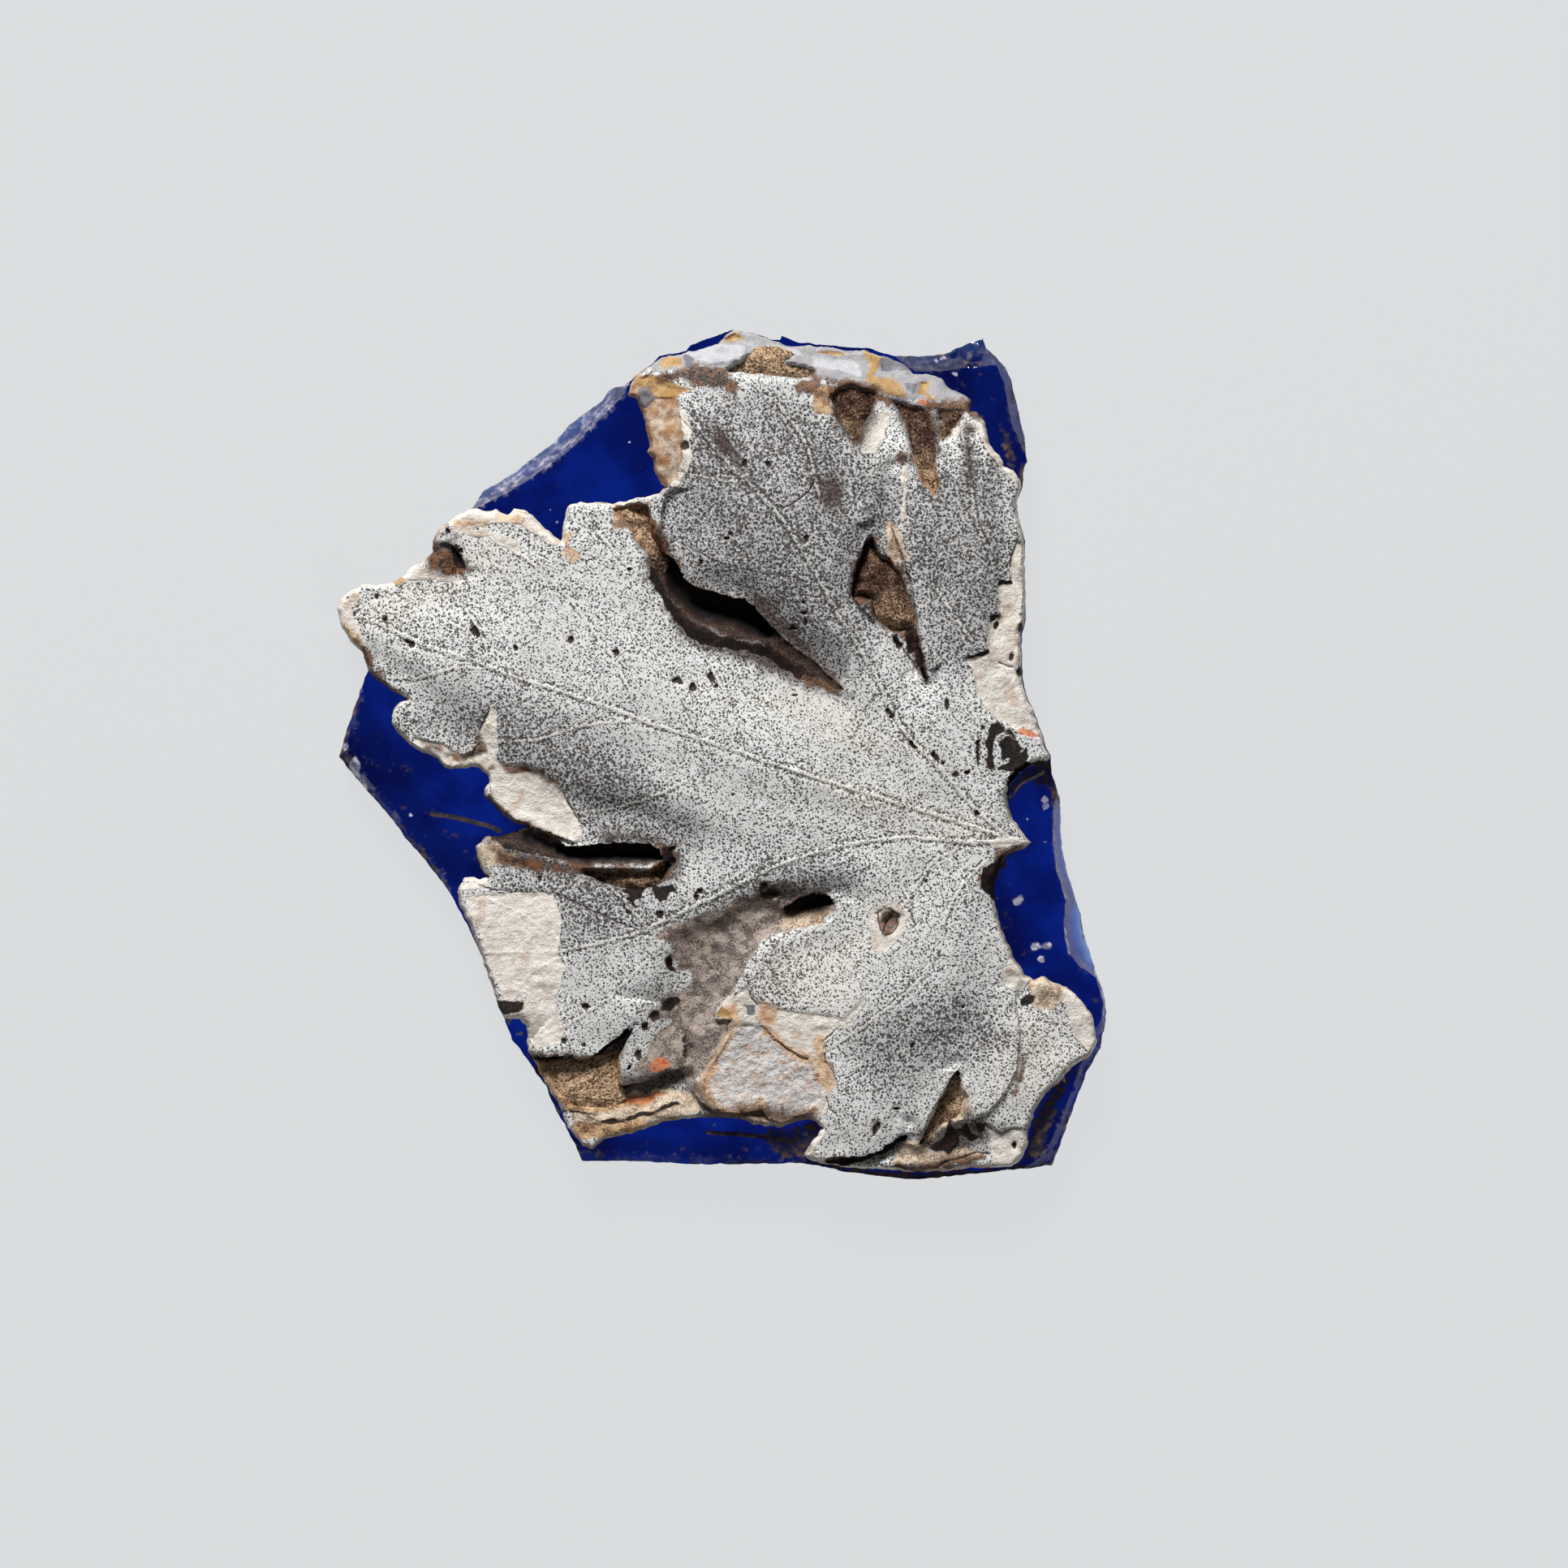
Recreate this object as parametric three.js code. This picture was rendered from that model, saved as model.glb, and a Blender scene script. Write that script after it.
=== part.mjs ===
// A broken piece of cameo glass, lying flat: a white vine leaf carved in relief on a blue glass ground.
// Millimetres, +Z up, +X to the right and +Y to the top of the leaf's face. The origin is under the
// middle of the fragment's box, on the surface that it lies on.

import * as THREE from 'three';

// Driving dimensions
const FRAGMENT_HEIGHT = 60.0;      // from the top break to the bottom break, along Y
const GROUND_THICKNESS = 3.0;      // the blue layer
const LEAF_RIM = 0.35;             // height of the white layer where it ends on the blue
const LEAF_EDGE_WIDTH = 0.55;      // how far in from its outline the leaf reaches its full height
const VEIN_HEIGHT = 0.36;
const VEIN_HALF_WIDTH = 0.45;
const STEP_EDGE = 0.35;            // run of the small cliff at a spall or a carved step
const NARROW_BREAK = 1.0;          // a break narrower than this falls less
const SOIL_GAP = 0.35;             // space round a lump of soil in its hollow
const SOIL_LIFT = 0.05;            // space under it

// Mesh sizes
const OUTLINE_STEP = 1.1;
const FILL_STEP = 1.35;
const LINE_CLEARANCE = 0.42;
const FILL_CLEARANCE = 0.8;

// Places are read on a square grid laid over the straight-down view of the fragment, with x to the
// right and y down. These are the grid lines that touch the fragment.
const GRID_TOP = 406;
const GRID_BOTTOM = 1454;
const GRID_LEFT = 414;
const GRID_RIGHT = 1365;
const GRID_STEP = FRAGMENT_HEIGHT / (GRID_BOTTOM - GRID_TOP);

// Outline of the blue glass, clockwise from the top
const FRAGMENT_OUTLINE = [
  [902, 406], [935, 412], [963, 415], [1020, 425], [1075, 429], [1105, 438], [1150, 438], [1180, 430],
  [1200, 419], [1212, 417], [1228, 440], [1240, 454], [1252, 490], [1264, 545], [1260, 600], [1252, 620],
  [1264, 667], [1264, 724], [1259, 787], [1264, 854], [1288, 915], [1302, 967], [1307, 1005], [1309, 1044],
  [1323, 1101], [1339, 1160], [1360, 1226], [1365, 1247], [1356, 1292], [1339, 1323], [1316, 1384],
  [1303, 1420], [1296, 1436], [1230, 1444], [1180, 1449], [1130, 1454], [1080, 1449], [1020, 1441],
  [985, 1433], [900, 1435], [780, 1431], [717, 1431], [703, 1402], [685, 1370], [672, 1338], [645, 1300],
  [623, 1265], [607, 1220], [580, 1150], [555, 1102], [522, 1058], [485, 1013], [440, 960], [418, 932],
  [427, 900], [440, 862], [453, 826], [446, 803], [425, 780], [414, 755], [419, 738], [444, 719],
  [482, 719], [508, 699], [533, 680], [535, 660], [560, 637], [598, 602], [644, 573], [692, 533],
  [742, 492], [770, 474], [805, 447], [845, 432], [880, 417],
];

// Bevelled breaks of the blue glass: the ridge that each falls from, how far it falls to the outline,
// and points outside the fragment that close its area
const BREAKS = [
  {
    name: 'upper left', fall: 2.1, beyond: [[760, 440], [560, 600]],
    ridge: [[578, 630], [618, 610], [660, 585], [700, 556], [742, 513], [765, 490], [776, 470]],
  },
  {
    name: 'upper right', fall: 1.5, beyond: [[1290, 560], [1240, 400], [1100, 410]],
    ridge: [[1100, 437], [1128, 456], [1165, 463], [1205, 458], [1236, 472], [1246, 520], [1264, 560]],
  },
  {
    name: 'right', fall: 1.8, beyond: [[1370, 1200], [1330, 1000]],
    ridge: [[1304, 976], [1299, 1010], [1301, 1070], [1311, 1112], [1312, 1150], [1330, 1190], [1352, 1205]],
  },
  {
    name: 'lower right', fall: 1.0, beyond: [[1320, 1460], [1390, 1260]],
    ridge: [[1364, 1244], [1350, 1270], [1333, 1310], [1306, 1384], [1286, 1424], [1260, 1442]],
  },
  { name: 'bottom', fall: 0.8, beyond: [[700, 1460], [1000, 1460]], ridge: [[1000, 1434], [900, 1426], [800, 1422], [709, 1415]] },
  {
    name: 'left', fall: 0.9, beyond: [[390, 860], [390, 960], [530, 1110]],
    ridge: [[560, 1106], [545, 1075], [500, 1020], [452, 958], [428, 928], [438, 890], [447, 845]],
  },
];

// Outline of the white glass, clockwise from the left tip
const LEAF_OUTLINE = [
  [416, 757], [420, 740], [438, 726], [445, 720], [470, 720], [482, 720], [500, 706], [519, 694], [534, 681],
  [535, 668], [541, 654], [560, 638], [582, 627], [610, 627], [624, 634], [640, 627], [655, 635], [672, 652],
  [689, 665], [694, 645], [702, 622], [740, 620], [785, 613], [820, 602], [806, 580], [803, 565], [797, 553],
  [798, 530], [786, 490], [774, 486], [784, 463], [805, 448], [845, 434], [870, 429], [892, 417], [905, 408],
  [935, 413], [960, 420], [1020, 427], [1075, 432], [1100, 440], [1126, 460], [1160, 466], [1185, 484],
  [1197, 495], [1205, 508], [1216, 530], [1222, 550], [1238, 575], [1253, 583], [1259, 600], [1252, 620],
  [1263, 667], [1263, 724], [1258, 787], [1263, 854], [1287, 915], [1293, 936], [1267, 944], [1245, 965],
  [1242, 984], [1249, 1007], [1271, 1037], [1262, 1046], [1242, 1053], [1231, 1072], [1225, 1095],
  [1228, 1124], [1240, 1160], [1262, 1200], [1275, 1207], [1288, 1200], [1314, 1216], [1334, 1233],
  [1347, 1256], [1351, 1284], [1341, 1302], [1321, 1315], [1304, 1335], [1287, 1349], [1275, 1369],
  [1268, 1392], [1266, 1415], [1256, 1434], [1230, 1440], [1180, 1444], [1130, 1447], [1080, 1443],
  [1030, 1438], [1003, 1431], [992, 1421], [1006, 1402], [1012, 1386], [990, 1380], [965, 1389],
  [940, 1386], [905, 1378], [870, 1377], [815, 1383], [770, 1398], [742, 1407], [722, 1414], [708, 1402],
  [690, 1372], [675, 1338], [649, 1300], [628, 1265], [611, 1220], [585, 1150], [565, 1110], [565, 1090],
  [580, 1081], [597, 1076], [588, 1060], [586, 1042], [600, 1031], [640, 1021], [620, 1005], [598, 982],
  [602, 960], [585, 946], [555, 948], [540, 936], [508, 920], [484, 893], [487, 872], [500, 861],
  [472, 843], [453, 827], [447, 804], [426, 780],
];

// The form of the carved surface, as lines that follow its crests, edges and troughs. Each point is two
// places on the grid and a height in millimetres above the blue ground.
const FORM_LINES = {
  midrib: [
    [432, 752, 1.5], [530, 798, 2.1], [700, 853, 2.5], [900, 920, 2.8], [1100, 988, 2.9], [1200, 1022, 2.6],
    [1265, 1037, 1.9],
  ],
  leftLobeUpperEdge: [
    [470, 725, 1.6], [540, 712, 1.8], [600, 660, 1.8], [700, 680, 2.1], [740, 650, 2.0], [790, 710, 2.1],
    [830, 775, 2.2], [960, 835, 2.4], [1020, 865, 2.6],
  ],
  leftLobeLowerEdge: [
    [465, 820, 1.4], [500, 880, 1.3], [560, 930, 1.4], [620, 985, 1.5], [690, 1015, 1.5], [780, 1025, 1.6],
    [840, 1045, 1.8],
  ],
  troughUnderMidrib: [[640, 900, 2.0], [760, 950, 2.1], [880, 985, 2.1], [1080, 1015, 2.2], [1160, 1025, 2.4]],
  lowerVein: [[1200, 1038, 2.6], [1100, 1037, 2.6], [1000, 1057, 2.5], [920, 1090, 2.3], [797, 1147, 2.0]],
  lowerLeftLobe: [[797, 1147, 2.1], [740, 1162, 2.0], [690, 1172, 1.9], [600, 1176, 1.5]],
  lowerLeftLobeTop: [[770, 1110, 2.0], [740, 1095, 1.9], [660, 1062, 1.6], [600, 1055, 1.3]],
  lowerLeftLobeFoot: [[785, 1190, 2.0], [750, 1230, 1.9], [700, 1262, 1.8], [660, 1283, 1.6], [780, 1310, 1.5]],
  valley: [[990, 1135, 1.3], [930, 1130, 1.2], [880, 1170, 1.0], [855, 1230, 0.9], [845, 1290, 0.8]],
  lowerLeftCorner: [[840, 1335, 0.9], [790, 1372, 0.9], [720, 1335, 0.7], [712, 1385, 0.8], [730, 1400, 0.7]],
  bottomLobeLeftEdge: [
    [1030, 1120, 2.0], [960, 1165, 1.9], [930, 1210, 1.8], [885, 1300, 1.5], [885, 1350, 1.5], [960, 1365, 1.5],
    [1015, 1400, 1.5],
  ],
  bottomLobeRib: [
    [1215, 1060, 2.5], [1170, 1110, 2.7], [1140, 1200, 2.7], [1110, 1290, 2.5], [1080, 1370, 2.1],
    [1060, 1410, 1.8],
  ],
  bottomLobeRightEdge: [
    [1228, 1120, 2.2], [1238, 1180, 2.2], [1246, 1260, 2.1], [1235, 1340, 2.0], [1195, 1360, 2.0],
    [1165, 1320, 2.2], [1125, 1395, 1.9],
  ],
  secondLobe: [[1265, 1215, 1.5], [1300, 1240, 1.6], [1335, 1280, 1.2], [1290, 1310, 1.5], [1262, 1375, 1.3]],
  betweenLobes: [[1120, 600, 2.4], [1095, 660, 2.3], [1112, 720, 2.0], [1132, 790, 2.4], [1142, 840, 2.6]],
  bottomRim: [[1030, 1425, 1.0], [1090, 1430, 1.2], [1150, 1425, 1.1], [1235, 1415, 1.1]],
  upperLobeRib: [
    [838, 505, 2.5], [870, 540, 2.9], [905, 578, 3.3], [955, 630, 3.7], [1000, 696, 3.7], [1038, 765, 3.4],
    [1077, 837, 3.1], [1115, 900, 3.0], [1160, 960, 2.8],
  ],
  upperLobeLeftEdge: [[815, 600, 2.5], [815, 650, 2.7], [850, 705, 3.1], [910, 730, 3.1], [960, 775, 3.0], [1020, 825, 2.9]],
  upperLobeTopEdge: [[860, 480, 2.4], [920, 475, 2.5], [980, 485, 2.6], [1015, 510, 2.7], [1040, 560, 2.9], [1100, 600, 2.9]],
  upperLobeRightEdge: [[1060, 640, 3.2], [1045, 700, 3.2], [1075, 790, 3.0]],
  rightLobeRib: [[1190, 530, 2.2], [1196, 600, 2.9], [1206, 660, 3.0], [1195, 740, 2.9], [1170, 820, 2.8], [1205, 930, 2.7]],
  rightLobeEdge: [[1240, 590, 2.0], [1250, 680, 2.1], [1250, 760, 2.0], [1250, 840, 2.0], [1280, 920, 1.8]],
  rightLobeLeftEdge: [[1115, 580, 2.6], [1110, 660, 2.7], [1130, 740, 2.7], [1150, 820, 2.8]],
  topBreakUpperLine: [
    [800, 462, 1.9], [870, 458, 2.2], [960, 466, 2.4], [1060, 480, 2.3], [1150, 500, 1.9], [1195, 502, 1.3],
  ],
  topBreakFoot: [[815, 440, 0.7], [900, 412, 0.4], [1000, 428, 0.4], [1100, 446, 0.4], [1170, 478, 0.4]],
};
const FORM_SOFTNESS = 1.1;

// Main veins, raised as rounded ridges
const VEINS = {
  midrib: [[440, 758], [500, 784], [560, 806], [700, 853], [800, 887], [900, 920], [1000, 955], [1100, 988], [1215, 1028]],
  upperLobe: [[852, 515], [885, 555], [930, 602], [975, 655], [1000, 696], [1038, 765], [1077, 837], [1115, 900], [1165, 958]],
  lowerLobe: [[1215, 1036], [1100, 1036], [1040, 1048], [980, 1068], [920, 1092], [860, 1120], [800, 1146]],
  bottomLobe: [[1205, 1075], [1165, 1130], [1140, 1200], [1100, 1240], [1050, 1275]],
  rightLobe: [[1196, 570], [1207, 650], [1228, 707]],
  fanUp: [[790, 1138], [765, 1108], [738, 1085]],
  fanAcross: [[785, 1150], [740, 1162], [690, 1172]],
  fanDown: [[795, 1160], [750, 1230], [705, 1260]],
};

// Spalls, where flakes of the weathered skin are lost and the surface is a step lower
const SPALLS = [
  { drop: 0.25, outline: [[605, 868], [614, 900], [612, 935], [652, 943], [680, 960], [715, 1012], [655, 1016], [604, 984], [606, 958], [585, 942], [556, 944], [512, 914], [560, 926], [590, 915]] },
  { drop: 0.25, outline: [[676, 1102], [692, 1132], [688, 1170], [696, 1215], [686, 1240], [694, 1275], [655, 1294], [622, 1240], [592, 1155], [574, 1108]] },
  { drop: 0.55, outline: [[921, 1224], [965, 1243], [1036, 1256], [1066, 1228], [1058, 1248], [1018, 1280], [1030, 1335], [1016, 1362], [962, 1378], [942, 1364], [880, 1366], [858, 1344], [878, 1300], [905, 1256]] },
  { drop: 0.3, outline: [[1254, 672], [1242, 707], [1231, 720], [1230, 757], [1218, 765], [1216, 800], [1190, 812], [1206, 862], [1222, 883], [1278, 908], [1258, 856], [1253, 790], [1258, 700]] },
  { drop: 0.3, outline: [[1219, 1386], [1245, 1390], [1262, 1394], [1260, 1414], [1250, 1430], [1224, 1432]] },
];

// Carved steps, where one part of the leaf or its ground lies lower than the part beside it
const LEDGES = [
  {
    name: 'valley between the lower lobes', drop: 0.55,
    outline: [
      [805, 1152], [836, 1168], [832, 1195], [850, 1202], [832, 1228], [818, 1246], [824, 1262], [804, 1290],
      [806, 1318], [848, 1310], [856, 1330], [866, 1296], [882, 1256], [904, 1226], [926, 1184], [944, 1156],
      [1000, 1142], [1028, 1130], [1018, 1106], [972, 1100], [930, 1112], [900, 1122], [850, 1140],
    ],
  },
  {
    name: 'second lobe', drop: 0.5,
    outline: [
      [1252, 1226], [1256, 1282], [1252, 1318], [1237, 1348], [1219, 1369], [1204, 1376], [1222, 1388],
      [1290, 1392], [1370, 1300], [1330, 1190], [1280, 1215],
    ],
  },
  {
    name: 'bottom rim', drop: 0.5,
    outline: [
      [1018, 1430], [1065, 1425], [1100, 1408], [1117, 1393], [1130, 1413], [1150, 1378], [1178, 1322],
      [1188, 1350], [1204, 1376], [1222, 1388], [1290, 1392], [1280, 1470], [1010, 1470],
    ],
  },
  {
    name: 'lower left corner', drop: 0.5,
    outline: [
      [640, 1299], [700, 1302], [735, 1302], [768, 1278], [762, 1305], [762, 1338], [800, 1326], [846, 1314],
      [858, 1344], [880, 1366], [905, 1385], [840, 1410], [700, 1430], [600, 1320],
    ],
  },
];

// Hollows cut deep beside the lobes, with the height of their floors above the blue and the width of
// the bank that leads down to them
const HOLLOWS = [
  {
    name: 'under the upper lobe', floor: 0.4, bank: 0.6,
    outline: [
      [836, 700], [846, 720], [890, 733], [918, 748], [952, 786], [990, 806], [1030, 842], [1006, 838],
      [968, 818], [930, 790], [890, 780], [856, 762], [834, 738], [826, 712],
    ],
  },
  {
    name: 'under the left lobe', floor: 0.35, bank: 0.5,
    outline: [
      [596, 1037], [640, 1026], [700, 1046], [750, 1040], [795, 1042], [812, 1052], [808, 1064], [760, 1068],
      [715, 1068], [660, 1052], [612, 1046],
    ],
  },
  { name: 'small, by the bottom lobe', floor: 0.6, bank: 0.5, outline: [[972, 1120], [986, 1108], [1004, 1104], [1022, 1110], [1018, 1119], [996, 1122]] },
  { name: 'star pit', floor: 1.6, bank: 0.5, outline: [[1086, 1126], [1098, 1120], [1108, 1130], [1102, 1146], [1089, 1148]] },
  { name: 'crack by the lower fan', floor: 1.3, bank: 0.3, outline: [[764, 1343], [800, 1338], [838, 1320], [800, 1346], [776, 1350]] },
  { name: 'under the bottom notch', floor: 0.9, bank: 0.4, outline: [[1092, 1412], [1116, 1397], [1114, 1404], [1096, 1417]] },
];

// Lumps of soil lodged in hollows: the hollow's outline and floor, and how high the soil stands in it
const SOIL_LUMPS = [
  { name: 'soil_top_notch_left', floor: 1.5, height: 0.8, outline: [[1024, 488], [1048, 477], [1078, 486], [1070, 512], [1058, 548], [1040, 526]] },
  { name: 'soil_top_notch_middle', floor: 1.5, height: 0.7, outline: [[1104, 496], [1138, 507], [1150, 540], [1155, 592], [1150, 610], [1126, 562], [1120, 526]] },
  { name: 'soil_top_notch_right', floor: 1.2, height: 0.5, outline: [[1158, 510], [1186, 508], [1176, 524], [1160, 545]] },
  { name: 'soil_top_break', floor: 0.9, height: 1.0, outline: [[925, 436], [950, 430], [974, 438], [962, 448], [1000, 454], [1003, 466], [960, 462], [900, 456]] },
  { name: 'soil_left_of_upper_lobe', floor: 1.1, height: 0.9, outline: [[758, 628], [796, 626], [804, 660], [818, 690], [814, 712], [800, 688], [784, 662], [776, 646]] },
  { name: 'soil_between_lobes', floor: 1.2, height: 1.0, outline: [[1070, 668], [1080, 688], [1100, 704], [1120, 745], [1128, 776], [1100, 774], [1080, 762], [1076, 736], [1052, 732], [1058, 700]] },
  { name: 'soil_under_left_lobe', floor: 0.5, height: 0.6, outline: [[722, 1074], [800, 1076], [822, 1066], [812, 1088], [790, 1096], [750, 1090]] },
  { name: 'soil_lower_left_corner', floor: 0.3, height: 0.6, outline: [[674, 1314], [735, 1308], [756, 1302], [758, 1340], [768, 1352], [740, 1360], [704, 1360], [688, 1338]] },
  { name: 'soil_bottom_notch', floor: 1.1, height: 0.6, outline: [[1178, 1328], [1186, 1356], [1178, 1376], [1160, 1384], [1142, 1404], [1148, 1382], [1162, 1354]] },
];
const SOIL_BANK = 0.4;

// Plane geometry
function place([x, y]) {
  const middleX = (GRID_LEFT + GRID_RIGHT) / 2;
  const middleY = (GRID_TOP + GRID_BOTTOM) / 2;
  return new THREE.Vector2((x - middleX) * GRID_STEP, (middleY - y) * GRID_STEP);
}

const trace = (points) => points.map(place);

// Outlines are read clockwise, and the solids are built from outlines that run the other way
function counterClockwise(outline) {
  return THREE.ShapeUtils.area(outline) < 0 ? [...outline].reverse() : outline;
}

function edges(points, closed) {
  const count = closed ? points.length : points.length - 1;
  return Array.from({ length: count }, (_, i) => [points[i], points[(i + 1) % points.length]]);
}

// Points along a line, none further apart than step, with every corner kept
function walk(points, step, closed = true) {
  const walked = edges(points, closed).flatMap(([start, end]) => {
    const count = Math.max(1, Math.ceil(start.distanceTo(end) / step));
    return Array.from({ length: count }, (_, i) => start.clone().lerp(end, i / count));
  });
  return closed ? walked : [...walked, points[points.length - 1].clone()];
}

function distanceToEdge(point, [start, end]) {
  const along = end.clone().sub(start);
  const t = THREE.MathUtils.clamp(point.clone().sub(start).dot(along) / along.lengthSq(), 0, 1);
  return point.distanceTo(start.clone().addScaledVector(along, t));
}

const distanceTo = (lineEdges, point) => Math.min(...lineEdges.map((edge) => distanceToEdge(point, edge)));

function inside(point, outline) {
  let odd = false;
  for (const [a, b] of edges(outline, true)) {
    const crosses = (a.y > point.y) !== (b.y > point.y);
    if (crosses && point.x < a.x + ((point.y - a.y) * (b.x - a.x)) / (b.y - a.y)) odd = !odd;
  }
  return odd;
}

// The outline moved outwards by a distance, or inwards by a negative one
function offset(outline, distance) {
  return outline.map((point, i) => {
    const before = outline[(i + outline.length - 1) % outline.length];
    const after = outline[(i + 1) % outline.length];
    const along = after.clone().sub(before).normalize();
    return new THREE.Vector2(point.x + along.y * distance, point.y - along.x * distance);
  });
}

const smooth = (value, width) => THREE.MathUtils.smoothstep(value, 0, width);

// A repeatable value from 0 to 1 for a place, which keeps the mesh points off an exact lattice
function scatter(x, y) {
  const value = Math.sin(x * 12.9898 + y * 78.233) * 43758.5453;
  return value - Math.floor(value);
}

// Triangles between points: each new point is joined to the edge of the hole that it opens
function joinPoints(points) {
  const far = 1000;
  const all = [...points, new THREE.Vector2(-far, -far), new THREE.Vector2(far, -far), new THREE.Vector2(0, far)];
  const circled = (corners) => {
    const [a, b, c] = corners.map((i) => all[i]);
    const twist = 2 * ((b.x - a.x) * (c.y - a.y) - (b.y - a.y) * (c.x - a.x));
    const reachB = b.distanceToSquared(a);
    const reachC = c.distanceToSquared(a);
    const x = ((c.y - a.y) * reachB - (b.y - a.y) * reachC) / twist;
    const y = ((b.x - a.x) * reachC - (c.x - a.x) * reachB) / twist;
    return { corners, x: a.x + x, y: a.y + y, radius: x * x + y * y };
  };
  let triangles = [circled([points.length, points.length + 1, points.length + 2])];
  points.forEach((point, index) => {
    const hole = new Map();
    triangles = triangles.filter((triangle) => {
      const dx = point.x - triangle.x;
      const dy = point.y - triangle.y;
      if (dx * dx + dy * dy >= triangle.radius) return true;
      const [a, b, c] = triangle.corners;
      for (const [start, end] of [[a, b], [b, c], [c, a]]) {
        if (!hole.delete(`${end} ${start}`)) hole.set(`${start} ${end}`, [start, end]);
      }
      return false;
    });
    for (const [start, end] of hole.values()) triangles.push(circled([start, end, index]));
  });
  return triangles.map((triangle) => triangle.corners).filter((corners) => Math.max(...corners) < points.length);
}

// Triangles that fill an outline, whose points come first in the list
function fill(points, outline) {
  return joinPoints(points).filter(([a, b, c]) => {
    const middle = points[a].clone().add(points[b]).add(points[c]).divideScalar(3);
    return inside(middle, outline);
  });
}

// The outline with points added until each of its edges is an edge of the triangles
function settleOutline(outline, others, rounds = 8) {
  const sides = joinPoints([...outline, ...others]).flatMap(([a, b, c]) => [`${a} ${b}`, `${b} ${c}`, `${c} ${a}`]);
  const joined = new Set(sides);
  const settled = outline.flatMap((point, i) => {
    const next = (i + 1) % outline.length;
    const whole = joined.has(`${i} ${next}`);
    return whole ? [point] : [point, point.clone().lerp(outline[next], 0.5)];
  });
  if (settled.length === outline.length) return settled;
  if (rounds === 0) throw new Error('an outline crosses itself');
  return settleOutline(settled, others, rounds - 1);
}

// Mesh points inside an outline: first those along the given lines, then an even fill
function innerPoints(outline, lines, lineStep, fillStep) {
  const outlineEdges = edges(outline, true);
  const kept = [];
  const tryPoint = (point, clearance) => {
    if (!inside(point, outline)) return;
    if (distanceTo(outlineEdges, point) < clearance * 0.8) return;
    if (kept.some((other) => other.distanceTo(point) < clearance)) return;
    kept.push(point);
  };
  for (const { points, closed } of lines) {
    for (const point of walk(points, lineStep, closed)) tryPoint(point, LINE_CLEARANCE);
  }
  const box = new THREE.Box2().setFromPoints(outline);
  const rowStep = fillStep * Math.sin(Math.PI / 3);
  for (let row = 0, y = box.min.y; y < box.max.y; row += 1, y += rowStep) {
    for (let x = box.min.x + (row % 2) * fillStep * 0.5; x < box.max.x; x += fillStep) {
      const turn = scatter(x, y) * Math.PI * 2;
      const wander = fillStep * 0.12;
      tryPoint(new THREE.Vector2(x + Math.cos(turn) * wander, y + Math.sin(turn) * wander), FILL_CLEARANCE);
    }
  }
  return kept;
}

// A closed solid with a relief on top, upright walls along its outline and a flat underside
function reliefSolid({ outline, lines = [], lineStep = 1.0, fillStep = FILL_STEP, top, bottom }) {
  const rim = counterClockwise(walk(outline, OUTLINE_STEP));
  const inner = innerPoints(rim, lines, lineStep, fillStep);
  const settled = settleOutline(rim, inner);
  const points = [...settled, ...inner];
  const positions = points.flatMap((point) => [point.x, point.y, top(point)]);
  const indices = fill(points, settled).flat();
  const under = points.length;
  settled.forEach((point) => positions.push(point.x, point.y, bottom));
  settled.forEach((_, i) => {
    const next = (i + 1) % settled.length;
    indices.push(i, under + i, under + next, i, under + next, next);
  });
  for (const [a, b, c] of fill(settled, settled)) indices.push(under + a, under + c, under + b);
  const geometry = new THREE.BufferGeometry();
  geometry.setAttribute('position', new THREE.Float32BufferAttribute(positions, 3));
  geometry.setIndex(indices);
  geometry.computeVertexNormals();
  return geometry;
}

// The smooth form of the carved surface: an average of the form lines' heights, weighted by nearness
const formPoints = Object.values(FORM_LINES).flatMap((line) => edges(line, false).flatMap(([start, end]) => {
  const from = place(start);
  const to = place(end);
  const count = Math.ceil(from.distanceTo(to) / 1.5);
  return Array.from({ length: count + 1 }, (_, i) => ({
    at: from.clone().lerp(to, i / count),
    height: THREE.MathUtils.lerp(start[2], end[2], i / count),
  }));
}));

function formHeight(point) {
  let total = 0;
  let weights = 0;
  for (const { at, height } of formPoints) {
    const weight = 1 / (at.distanceToSquared(point) + FORM_SOFTNESS ** 2) ** 2;
    total += weight * height;
    weights += weight;
  }
  return total / weights;
}

const leafOutline = trace(LEAF_OUTLINE);
const leafEdges = edges(leafOutline, true);
const veinLines = Object.values(VEINS).map(trace);
const veinEdges = veinLines.flatMap((line) => edges(line, false));
const area = ({ outline, ...rest }) => ({ ...rest, outline: counterClockwise(trace(outline)) });
const steps = [...SPALLS, ...LEDGES].map(area);
const hollows = [
  ...HOLLOWS.map((hollow) => ({ ...hollow, margin: 0 })),
  ...SOIL_LUMPS.map(({ outline, floor }) => ({ outline, floor, bank: SOIL_BANK, margin: SOIL_GAP })),
].map(area);

function leafHeight(point) {
  let height = formHeight(point);
  height += VEIN_HEIGHT * (1 - smooth(distanceTo(veinEdges, point), VEIN_HALF_WIDTH));
  for (const { outline, drop } of steps) {
    if (inside(point, outline)) height -= drop * smooth(distanceTo(edges(outline, true), point), STEP_EDGE);
  }
  const fromEdge = distanceTo(leafEdges, point);
  height = THREE.MathUtils.lerp(LEAF_RIM, height, smooth(fromEdge, LEAF_EDGE_WIDTH));
  for (const { outline, floor, bank, margin } of hollows) {
    const away = inside(point, outline) ? 0 : Math.max(0, distanceTo(edges(outline, true), point) - margin);
    if (away < bank) height = THREE.MathUtils.lerp(Math.min(floor, height), height, smooth(away, bank));
  }
  return GROUND_THICKNESS + height;
}

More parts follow.
